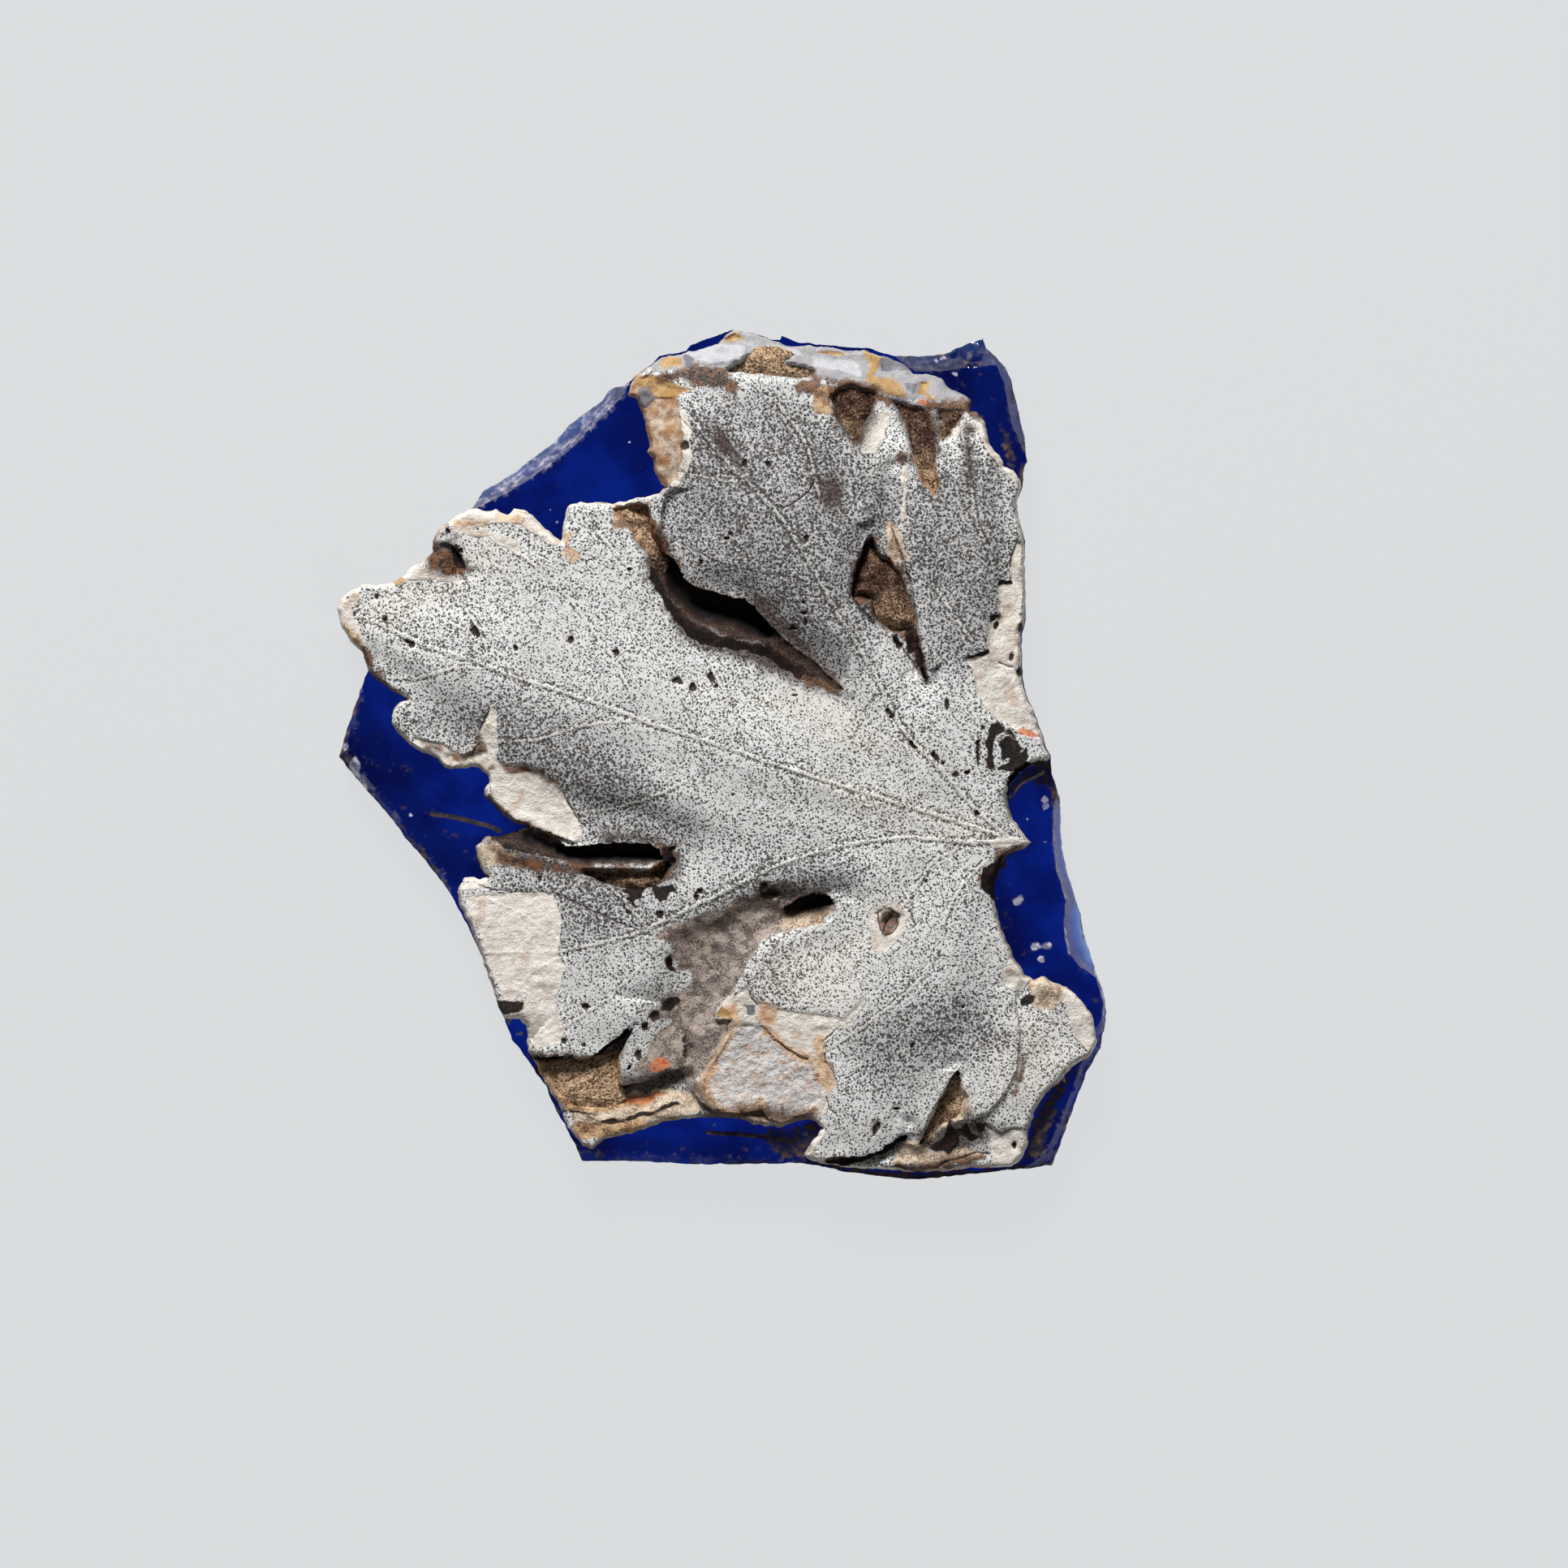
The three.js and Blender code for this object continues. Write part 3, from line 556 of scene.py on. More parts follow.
# %% Outline of the white glass
LEAF_OUTLINE = [
    *LEAF_LEFT_TIP, (592, 628), (600, 630), (610, 627), (624, 634), (633, 627), (645, 628), (655, 635),
    (672, 652), (690, 666), (693, 655), (697, 628), (702, 622), (715, 619), (755, 620), (785, 613),
    (800, 611), (812, 607), (820, 601), (812, 592), (806, 580), (803, 565), (796, 556), (800, 550),
    (793, 515), (788, 500), (785, 490), (774, 487), (778, 470), (784, 463), (805, 448), (815, 440),
    (845, 434), (875, 427), (885, 423), (892, 415), (903, 407), (925, 409), (950, 419), (965, 424),
    (985, 427), (1000, 425), (1045, 431), (1065, 431), (1100, 442), (1115, 450), (1126, 460), (1145, 461),
    (1160, 466), (1170, 478), (1185, 484), (1197, 492), (1195, 507), (1205, 508), (1212, 518),
    (1220, 548), (1230, 560), (1238, 575), (1250, 580), (1256, 590), (1259, 600), (1252, 620), (1255, 640),
    (1263, 667), (1263, 763), (1258, 787), (1259, 830), (1263, 854), (1276, 883), (1287, 915),
    (1294, 934), (1288, 940), (1267, 944), (1256, 953), (1244, 965), (1242, 984), (1248, 1007),
    (1258, 1023), (1271, 1038), (1262, 1046), (1242, 1053), (1233, 1070), (1225, 1090), (1226, 1110),
    (1235, 1145), (1240, 1160), (1250, 1180), (1262, 1200), (1275, 1207), (1287, 1203), (1300, 1212),
    (1314, 1215), (1332, 1231), (1346, 1252), (1352, 1284), (1345, 1299), (1321, 1315), (1306, 1333),
    (1288, 1348), (1274, 1371), (1268, 1395), (1267, 1410), (1257, 1433), (1243, 1439), (1200, 1438),
    (1160, 1444), (1100, 1443), (1080, 1440), (1060, 1441), (1003, 1432), (990, 1425), (995, 1415),
    (1005, 1403), (1013, 1390), (1005, 1382), (990, 1380), (975, 1385), (960, 1389), (930, 1386),
    (905, 1378), (870, 1377), (832, 1381), (815, 1383), (800, 1390), (770, 1398), (745, 1405), (730, 1416),
    (718, 1412), (700, 1390), (690, 1366), (674, 1340), (661, 1312), (650, 1296), (648, 1264),
    (640, 1256), (622, 1256), (617, 1248), (607, 1220),
    (592, 1175), (574, 1132), (566, 1114), (563, 1100), (572, 1082), (580, 1081), (592, 1083), (600, 1080),
    (590, 1066), (586, 1043), (600, 1030), (612, 1031), (626, 1027), (650, 1019), (630, 1012), (620, 1005),
    (605, 988), (597, 982), (597, 972), (602, 963), (600, 955), (592, 948), (580, 945), (570, 947),
    (555, 948), (546, 945), (540, 936), (508, 920), (490, 902), (483, 893), (481, 882), (486, 872),
    (492, 866), (500, 861), (482, 850), (460, 834),
]
leaf_outline = ragged(LEAF_OUTLINE, step=0.16, amount=0.08)
print("the leaf's outline has", len(leaf_outline), "points")

# %% [markdown]
# ## The blue glass
#
# The ground is a slab with a polished flat face and fracture faces round it. Glass breaks in smooth
# shells with ripples across them, so each break falls from its ridge to the outline in a slightly hollow
# curve, and the ripples run along it. Where a break thins the glass, the blue turns pale by itself,
# because absorption follows the thickness of the mesh.
#
# Each break is given by how deep it falls, how pale and how dark its face is, its ridge and a few places
# beyond the outline. Dirt, partly painted shadow under the leaf's edges, painted shade along them,
# chalky deposits, two thin dark sticks and pale chipped edges lie on the face, and each becomes a layer
# of distances that the finish reads. The underside stays a hair over the floor, because two faces in one
# plane would flicker.

# %% Fracture faces of the blue glass
NARROW_BREAK = 1.0
BREAK_CURVE = 0.85
RIDGE_RAGGED = 0.04
BREAKS = {
    "upper left": (2.1, 0.75, 0.3, [
        (578, 630), (600, 620), (618, 610), (640, 598), (660, 585), (700, 556), (728, 528), (742, 513),
        (755, 500), (765, 490), (776, 470)], [(760, 440), (560, 600)]),
    "upper right": (1.5, 0.15, 0.8, [
        (1100, 437), (1128, 457), (1160, 457), (1200, 452), (1228, 449), (1238, 472), (1246, 520),
        (1264, 560)], [(1290, 560), (1240, 400), (1100, 410)]),
    "right": (2.4, 0.12, 0.0, [
        (1304, 976), (1299, 990), (1298, 1020), (1301, 1070), (1315, 1110), (1311, 1135), (1318, 1175),
        (1330, 1190), (1352, 1205)], [(1370, 1200), (1330, 1000)]),
    "lower right": (1.0, 0.4, 0.5, [
        (1364, 1244), (1350, 1270), (1333, 1310), (1306, 1384), (1286, 1424), (1260, 1442)],
        [(1320, 1460), (1390, 1260)]),
    "bottom": (0.8, 0.3, 0.4, [
        (1000, 1434), (900, 1426), (800, 1422), (709, 1415)], [(700, 1460), (1000, 1460)]),
    "left": (0.9, 0.25, 0.25, [
        (560, 1106), (545, 1075), (500, 1020), (452, 958), (428, 928), (438, 890), (447, 845)],
        [(390, 860), (390, 960), (530, 1110)]),
}
BREAK_REACH = 7.0
RIPPLE_SPACING = 0.5
RIPPLE_HEIGHT = 0.02
# Dirt on the glass; the patches under the leaf's lower edges are painted shadow as well.
DIRTY_AND_SHADED_GLASS = [
    [(1238, 990), (1242, 966), (1256, 950), (1268, 942), (1296, 934), (1304, 960), (1308, 988), (1298, 994),
     (1290, 970), (1276, 963), (1262, 966), (1252, 976), (1247, 990)],
    [(996, 1426), (1060, 1438), (1150, 1442), (1240, 1436), (1300, 1430), (1300, 1448), (1150, 1460),
     (1010, 1450), (980, 1432)],
    [(1262, 1044), (1246, 1058), (1234, 1078), (1226, 1100), (1222, 1090), (1232, 1062), (1244, 1050)],
    [(1000, 1382), (1016, 1380), (1018, 1410), (990, 1428), (960, 1426), (938, 1404), (948, 1388),
     (975, 1392)],
    [(1346, 1296), (1312, 1326), (1294, 1344), (1278, 1372), (1268, 1400), (1262, 1432), (1286, 1424),
     (1298, 1380), (1316, 1338)],
    [(418, 934), (424, 912), (430, 914), (432, 934), (458, 976), (476, 1000), (466, 998), (440, 966)],
    [(486, 1010), (500, 1020), (530, 1058), (558, 1096), (548, 1096), (516, 1052)],
    [(534, 664), (548, 696), (572, 700), (560, 712), (530, 700)],
    [(646, 1296), (680, 1300), (690, 1380), (712, 1418), (700, 1410), (672, 1342)],
    [(1232, 520), (1246, 540), (1252, 580), (1240, 570)],
]
DIM = 0.75
DIM_REACH = 1.6
# Glass darkened along the leaf's edges and on some breaks: painted shade beside the white layer, and darker
# glass.
DIM_GLASS = [
    [(440, 860), (470, 900), (505, 960), (560, 1050), (560, 1090), (430, 960), (420, 920)],
    [(1150, 455), (1240, 450), (1262, 560), (1262, 640), (1240, 590), (1200, 500)],
    [(1262, 1440), (1290, 1330), (1350, 1240), (1345, 1300), (1296, 1430)],
    [(1228, 1060), (1240, 1130), (1262, 1180), (1250, 1190), (1230, 1130)],
    [(700, 1400), (720, 1395), (860, 1412), (1000, 1425), (1000, 1440), (720, 1420)],
    [(470, 1010), (560, 1030), (600, 1080), (560, 1090)],
]
STICKS = [
    [(531, 1003), (560, 1007), (600, 1017), (616, 1024)],
    [(872, 1396), (910, 1398), (962, 1403)],
]
DEPOSITS = [
    (436, 946, 9, 14), (446, 966, 7, 14), (450, 984, 4, 6), (506, 1004, 3, 3), (426, 920, 4, 6),
    (1288, 985, 5, 5), (1288, 993, 5, 5), (1264, 1010, 3, 3), (1288, 1038, 3, 3), (1245, 1089, 3, 3),
    (1254, 1111, 7, 6), (1257, 1106, 4, 4), (1276, 1166, 7, 7), (1290, 1166, 7, 6), (1283, 1182, 5, 5),
    (1320, 1206, 2, 2), (1232, 1102, 2, 2), (1229, 1106, 2, 2), (1303, 1178, 2, 2), (1349, 1283, 3, 3),
    (686, 642, 3, 3), (678, 628, 2, 2), (775, 544, 3, 3), (1154, 444, 3, 3), (1164, 441, 5, 3),
    (1178, 460, 8, 3), (470, 1000, 3, 4), (640, 1274, 8, 3), (628, 1258, 5, 5), (880, 1386, 3, 2),
    (992, 1398, 6, 4), (1310, 1330, 3, 5),
]
PALE_EDGES = [
    [(1303, 984), (1300, 1010), (1300, 1040), (1304, 1072), (1316, 1110), (1312, 1140), (1318, 1176)],
    [(1350, 1194), (1362, 1240), (1358, 1270)],
    [(1245, 982), (1258, 966), (1270, 961), (1286, 951)],
    [(1312, 1056), (1330, 1116), (1338, 1160)],
    [(416, 736), (416, 770), (430, 794)],
]
pale_edges = [ragged(line, closed=False, amount=0.05) for line in PALE_EDGES]
sticks = [ragged(line, closed=False, amount=0.02) for line in STICKS]
LINE_REACH = 1.5
GROUND_FILL = 0.26
UNDERSIDE = 0.03


def nearest_line(xy, lines):
    """How far each point is from the nearest of several lines."""
    found = np.full(len(xy), LINE_REACH)
    for line in lines:
        found = np.minimum(found, distance(xy, line))
    return found


def ground_surface(xy):
    """Heights and layers of the slab's face and its breaks."""
    from_edge = distance(xy, fragment_outline, closed=True, reach=BREAK_REACH)
    height = np.full(len(xy), GROUND_THICKNESS)
    film = np.zeros(len(xy))
    darker_glass_and_shade = np.zeros(len(xy))
    for fall, pale, dark, ridge, beyond in BREAKS.values():
        line = ragged(ridge, closed=False, amount=RIDGE_RAGGED)
        within = inside(xy, np.concatenate([line, place(beyond)]))
        from_ridge = distance(xy, line, reach=BREAK_REACH)
        part = from_ridge / np.maximum(from_ridge + from_edge, NARROW_BREAK)
        wave = np.sin((from_ridge + noise(xy, 3.0, 8) * 1.2) * 2 * math.pi / RIPPLE_SPACING)
        drop = fall * part ** BREAK_CURVE + wave * RIPPLE_HEIGHT * smooth(from_ridge, 0, 0.6)
        height = np.where(within, np.minimum(height, GROUND_THICKNESS - drop), height)
        film = np.where(within, pale, film)
        darker_glass_and_shade = np.where(within, dark, darker_glass_and_shade)
    darker_glass_and_shade = np.maximum(darker_glass_and_shade, DIM * smooth(deepest(xy, DIM_GLASS, reach=DIM_REACH), -1.2, 0.5))
    layers = {"edge": from_edge, "film": film, "darker_glass_and_shade": darker_glass_and_shade,
              "line": nearest_line(xy, pale_edges), "stick": nearest_line(xy, sticks),
              "dirt": deepest(xy, DIRTY_AND_SHADED_GLASS), "deposit": round_marks(xy, DEPOSITS)}
    return height, layers


def ground_dent(xy, t):
    """How far the broken side of the slab is hollowed, t of the way down."""
    return 0.12 * math.sin(math.pi * t) * (1 + noise(xy, 2.0, 11)) + noise(xy + t * 9, 0.7, 12) * 0.03


ridge_rows = [ragged(ridge, closed=False, amount=RIDGE_RAGGED) for *_, ridge, _ in BREAKS.values()]
edge_rows = [shifted(fragment_outline, inwards) for inwards in (0.1, 0.25, 0.45)]
blue = relief("blue_glass", fragment_outline, ridge_rows + pale_edges + sticks + edge_rows, GROUND_FILL,
              ground_surface, UNDERSIDE, wall_rows=4, wall_dent=ground_dent)
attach(blue, "root")
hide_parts("blue_glass_ground")

# %% [markdown]
# ## The carved leaf
#
# The carver left the white layer about two to four millimetres thick: the upper lobe curls up the
# highest, the midrib runs low along the left lobe, and between the lower lobes a valley is cut almost to
# the blue. The large form is given by a few lines along crests, edges and troughs, each with its height.
# The height anywhere else is an average of those lines weighted by nearness, so it flows between them.

# %% Large form of the leaf
FORM_LINES = [
    [(432, 752, 1.5), (530, 798, 2.1), (700, 853, 2.5), (900, 920, 2.8), (1100, 988, 2.9), (1200, 1022, 2.6),
     (1265, 1037, 1.9)],
    [(470, 725, 1.6), (540, 712, 1.8), (600, 660, 1.8), (700, 680, 2.1), (740, 650, 2.0), (790, 710, 2.1),
     (830, 775, 2.2), (960, 835, 2.4), (1020, 865, 2.6)],
    [(465, 820, 1.4), (500, 880, 1.3), (560, 930, 1.4), (620, 985, 1.5), (690, 1015, 1.5), (780, 1025, 1.6),
     (840, 1045, 1.8)],
    [(640, 900, 2.3), (760, 950, 2.5), (880, 985, 2.6), (1080, 1015, 2.6), (1160, 1025, 2.6)],
    [(1200, 1038, 2.6), (1100, 1037, 2.6), (1000, 1057, 2.5), (920, 1090, 2.3), (797, 1147, 2.0)],
    [(797, 1147, 2.1), (740, 1162, 2.0), (690, 1172, 1.9), (600, 1176, 1.5)],
    [(770, 1110, 2.0), (740, 1095, 1.9), (660, 1062, 1.6), (600, 1055, 1.3)],
    [(785, 1190, 2.0), (750, 1230, 1.9), (700, 1262, 1.8), (660, 1283, 1.6), (780, 1310, 1.5)],
    [(990, 1135, 1.3), (930, 1130, 1.2), (880, 1170, 1.0), (855, 1230, 0.9), (845, 1290, 0.8)],
    [(840, 1335, 0.9), (790, 1372, 0.9), (720, 1335, 0.7), (712, 1385, 0.8), (730, 1400, 0.7)],
    [(1030, 1120, 2.0), (960, 1165, 1.9), (930, 1210, 1.8), (885, 1300, 1.5), (885, 1350, 1.5),
     (960, 1365, 1.5), (1015, 1400, 1.5)],
    [(1215, 1060, 2.5), (1170, 1110, 2.7), (1140, 1200, 2.7), (1110, 1290, 2.5), (1080, 1370, 2.1),
     (1060, 1410, 1.8)],
    [(1228, 1120, 2.2), (1238, 1180, 2.2), (1246, 1260, 2.1), (1235, 1340, 2.0), (1195, 1360, 2.0),
     (1165, 1320, 2.2), (1125, 1395, 1.9)],
    [(1265, 1215, 1.5), (1300, 1240, 1.6), (1335, 1280, 1.2), (1290, 1310, 1.5), (1262, 1375, 1.3)],
    [(1120, 600, 2.4), (1095, 660, 2.3), (1112, 720, 2.0), (1132, 790, 2.4), (1142, 840, 2.6)],
    [(1030, 1425, 1.0), (1090, 1430, 1.2), (1150, 1425, 1.1), (1235, 1415, 1.1)],
    [(838, 505, 2.5), (870, 540, 2.9), (905, 578, 3.3), (955, 630, 3.7), (1000, 696, 3.7), (1038, 765, 3.4),
     (1077, 837, 3.1), (1115, 900, 3.0), (1160, 960, 2.8)],
    [(815, 600, 2.2), (818, 650, 2.4), (850, 700, 3.0), (910, 730, 3.1), (960, 775, 3.0), (1020, 825, 2.9)],
    [(860, 480, 2.4), (920, 475, 2.5), (980, 485, 2.6), (1015, 510, 2.7), (1040, 560, 2.9), (1100, 600, 2.9)],
    [(1060, 640, 3.2), (1045, 700, 3.2), (1075, 790, 3.0)],
    [(1190, 530, 2.2), (1196, 600, 2.9), (1206, 660, 3.0), (1195, 740, 2.9), (1170, 820, 2.8),
     (1205, 930, 2.7)],
    [(1240, 590, 2.0), (1250, 680, 2.1), (1250, 760, 2.0), (1250, 840, 2.0), (1280, 920, 1.8)],
    [(1115, 580, 2.6), (1110, 660, 2.7), (1130, 740, 2.7), (1150, 820, 2.8)],
    [(800, 462, 1.9), (870, 458, 2.2), (960, 466, 2.4), (1060, 480, 2.3), (1150, 500, 1.9), (1195, 502, 1.3)],
    [(815, 440, 0.7), (900, 412, 0.4), (1000, 428, 0.4), (1100, 446, 0.4), (1170, 478, 0.4)],
]
FORM_SOFTNESS = 1.1


def form_points():
    """Points along the form lines with their heights."""
    for line in FORM_LINES:
        flat = place(line)
        for i in range(len(line) - 1):
            count = math.ceil(np.linalg.norm(flat[i + 1] - flat[i]) / 1.5)
            for t in np.linspace(0, 1, count + 1):
                spot = flat[i] + (flat[i + 1] - flat[i]) * t
                yield (*spot, line[i][2] + (line[i + 1][2] - line[i][2]) * t)


def form_height(xy):
    total = np.zeros(len(xy))
    weights = np.zeros(len(xy))
    for x, y, height in form_points():
        weight = 1 / ((xy[:, 0] - x) ** 2 + (xy[:, 1] - y) ** 2 + FORM_SOFTNESS ** 2) ** 2
        total += weight * height
        weights += weight
    return total / weights


print("the form rests on", len(list(form_points())), "heights")

# %% [markdown]
# ## Veins, cracks and lost flakes
#
# The main veins are rounded ridges with a groove on each side. The small veins are finer ridges. The
# weathered skin has cracked, and flakes of it are lost: a spall is a patch that lies a step lower and
# shows rough cream-white glass. Each kind is a list of lines or outlines, because one function then
# makes every vein and another one every patch.

# %% Veins and cracks
MAIN_VEINS = [
    [(440, 758), (470, 769), (500, 784), (530, 798), (560, 806), (600, 820), (640, 836), (680, 848),
     (720, 861), (760, 875), (800, 891), (880, 916), (1000, 956), (1100, 988), (1180, 1012), (1220, 1026),
     (1260, 1036)],
    [(843, 508), (860, 526), (880, 550), (903, 578), (930, 602), (955, 630), (975, 655), (1000, 696),
     (1019, 734), (1038, 765), (1060, 800), (1080, 835), (1096, 870), (1110, 895), (1125, 915),
     (1150, 938), (1200, 995), (1240, 1030)],
    [(1260, 1036), (1200, 1038), (1160, 1035), (1120, 1031), (1080, 1035), (1040, 1041), (1000, 1052),
     (960, 1065), (920, 1084), (880, 1105), (840, 1124), (800, 1143)],
]
SIDE_VEINS = [
    [(1215, 1060), (1195, 1080), (1175, 1105), (1165, 1130), (1160, 1160), (1140, 1200), (1120, 1220),
     (1100, 1237), (1070, 1260), (1040, 1280), (1012, 1297)],
    [(640, 683), (665, 700), (700, 735), (720, 760), (740, 790), (750, 802), (762, 822), (770, 838),
     (780, 860)],
    [(832, 750), (845, 770), (860, 792), (878, 824), (895, 856), (900, 866)],
    [(560, 734), (575, 752), (590, 775), (600, 800)],
    [(478, 834), (510, 836), (535, 830), (560, 822), (600, 824)],
    [(600, 915), (660, 912), (720, 893), (780, 888)],
    [(680, 1001), (720, 1001), (760, 995), (800, 984), (830, 970), (845, 962)],
    [(722, 640), (745, 665), (770, 695)],
    [(936, 472), (960, 498), (975, 518), (990, 540), (1000, 565), (1004, 590), (1010, 610)],
    [(1186, 530), (1192, 570), (1203, 645), (1215, 672), (1228, 705)],
    [(1150, 720), (1165, 742), (1180, 765), (1198, 790)],
    [(795, 1140), (770, 1110), (740, 1080)],
    [(790, 1148), (740, 1162), (690, 1172), (600, 1174)],
    [(800, 1180), (750, 1230), (700, 1262), (655, 1283)],
    [(600, 1107), (640, 1125), (670, 1145), (686, 1156)],
    [(690, 1180), (660, 1195), (640, 1215)],
    [(845, 583), (880, 590), (915, 594)],
    [(1110, 1120), (1150, 1060), (1180, 1045)],
    [(700, 960), (690, 985), (702, 1000)],
]
GROOVES = [
    [(838, 668), (860, 680), (880, 690), (900, 698), (940, 707), (980, 712)],
    [(918, 632), (915, 645), (912, 656)],
    [(852, 576), (880, 584), (905, 584), (930, 598)],
    [(866, 512), (882, 524), (898, 545), (903, 556)],
    [(838, 514), (856, 534), (876, 557), (898, 584)],
    [(852, 508), (870, 526), (890, 549), (914, 578)],
    [(930, 478), (950, 502), (966, 522), (980, 548), (994, 572), (998, 596)],
    [(835, 581), (868, 586), (896, 592)],
    [(1190, 556), (1194, 576), (1197, 598)],
    [(1062, 877), (1080, 858), (1100, 840), (1120, 826), (1137, 820)],
    [(838, 862), (860, 905), (868, 930)],
    [(960, 730), (1010, 736), (1040, 760)],
]
CRACKS = [
    [(640, 1099), (660, 1098), (690, 1103), (715, 1115), (745, 1128), (775, 1142), (803, 1153)],
    [(566, 706), (573, 714), (578, 722), (579, 728)],
    [(960, 626), (975, 622), (985, 616), (996, 606), (1002, 596)],
    [(691, 972), (700, 988), (708, 1002), (714, 1014)],
    [(605, 866), (600, 880), (592, 898)],
    [(1120, 1117), (1124, 1128), (1127, 1140), (1124, 1144)],
    [(1078, 1125), (1090, 1119), (1100, 1121), (1108, 1129)],
    [(1100, 1121), (1096, 1132), (1090, 1140), (1086, 1152)],
    [(1082, 1125), (1083, 1138), (1085, 1150)],
    [(1104, 1128), (1106, 1140), (1100, 1150), (1090, 1153)],
    [(1150, 1440), (1170, 1430), (1190, 1425), (1205, 1420), (1220, 1422)],
    [(1060, 1430), (1085, 1436), (1100, 1437), (1115, 1438), (1125, 1442), (1140, 1443)],
    [(1230, 816), (1240, 820), (1250, 823), (1258, 830)],
    [(1253, 666), (1248, 680), (1243, 698)],
    [(936, 1260), (947, 1272), (954, 1282), (966, 1289), (976, 1297), (988, 1304), (998, 1304)],
    [(1018, 1288), (1016, 1308), (1026, 1318), (1030, 1330)],
    [(1018, 1352), (1022, 1366), (1030, 1372)],
    [(1014, 1283), (1030, 1268), (1050, 1256), (1066, 1240)],
    [(922, 1218), (926, 1230), (934, 1238)],
    [(1216, 1388), (1234, 1397), (1246, 1391), (1266, 1392)],
    [(668, 1368), (700, 1370), (728, 1373)],
    [(565, 1086), (585, 1088), (605, 1096), (640, 1099)],
]
main_veins = [ragged(line, closed=False, amount=0.03) for line in MAIN_VEINS]
side_veins = [ragged(line, closed=False, amount=0.04) for line in SIDE_VEINS]
grooves = [ragged(line, closed=False, amount=0.04) for line in GROOVES]
cracks = [ragged(line, closed=False, amount=0.06) for line in CRACKS]
print("lines cut in the leaf:", len(main_veins + side_veins + grooves + cracks))

# %% Spalls and scarps
SPALLS = {
    "under the left lobe's edge": (0.16, [
        (605, 866), (591, 897), (590, 916), (580, 926), (570, 930), (555, 922), (540, 915), (508, 908),
        (520, 924), (556, 944), (585, 942), (606, 958), (604, 984), (624, 1004), (655, 1016), (720, 1040),
        (714, 1014), (704, 994), (690, 972), (676, 955), (673, 950), (652, 943), (625, 941), (612, 935),
        (614, 900), (612, 880),
    ]),
    "round the star pit": (0.03, [
        (1072, 1122), (1086, 1112), (1106, 1114), (1118, 1126), (1116, 1148), (1104, 1160), (1092, 1172),
        (1076, 1172), (1070, 1150),
    ]),
    "end of the lower left lobe": (0.1, [
        (680, 1100), (686, 1115), (693, 1135), (688, 1160), (688, 1175), (695, 1190), (692, 1205),
        (694, 1218), (686, 1225), (684, 1235), (694, 1262), (695, 1275), (690, 1285), (660, 1293),
        (622, 1240), (592, 1160), (572, 1104), (620, 1100),
    ]),
    "corner of the bottom lobe": (0.12, [
        (918, 1214), (924, 1226), (936, 1233), (950, 1238), (960, 1242), (1000, 1248), (1025, 1251),
        (1037, 1256), (1050, 1244), (1064, 1228), (1068, 1238), (1050, 1256), (1030, 1268), (1016, 1280),
        (1012, 1294), (1018, 1305), (1030, 1332), (1022, 1355), (1012, 1378), (975, 1380), (945, 1382),
        (905, 1374), (870, 1368), (855, 1344), (866, 1322), (876, 1300), (892, 1278), (905, 1256),
        (884, 1252), (888, 1238), (905, 1225),
    ]),
    "deeper in that corner": (0.12, [
        (900, 1262), (936, 1262), (948, 1273), (963, 1286), (980, 1297), (997, 1306), (1010, 1330),
        (1012, 1352), (990, 1372), (945, 1378), (890, 1368), (862, 1350), (874, 1318), (896, 1284),
    ]),
    "along the right side": (0.2, [
        (1263, 664), (1253, 668), (1247, 684), (1243, 700), (1244, 714), (1229, 719), (1231, 735),
        (1231, 757), (1219, 762), (1217, 780), (1217, 801), (1205, 806), (1184, 813), (1197, 820),
        (1201, 837), (1203, 855), (1214, 870), (1230, 886), (1254, 899), (1281, 912), (1272, 880),
        (1258, 850), (1254, 800), (1259, 720),
    ]),
    "bottom right corner": (0.16, [
        (1217, 1384), (1234, 1397), (1245, 1391), (1268, 1392), (1266, 1417), (1254, 1438), (1224, 1438),
        (1217, 1410),
    ]),
}
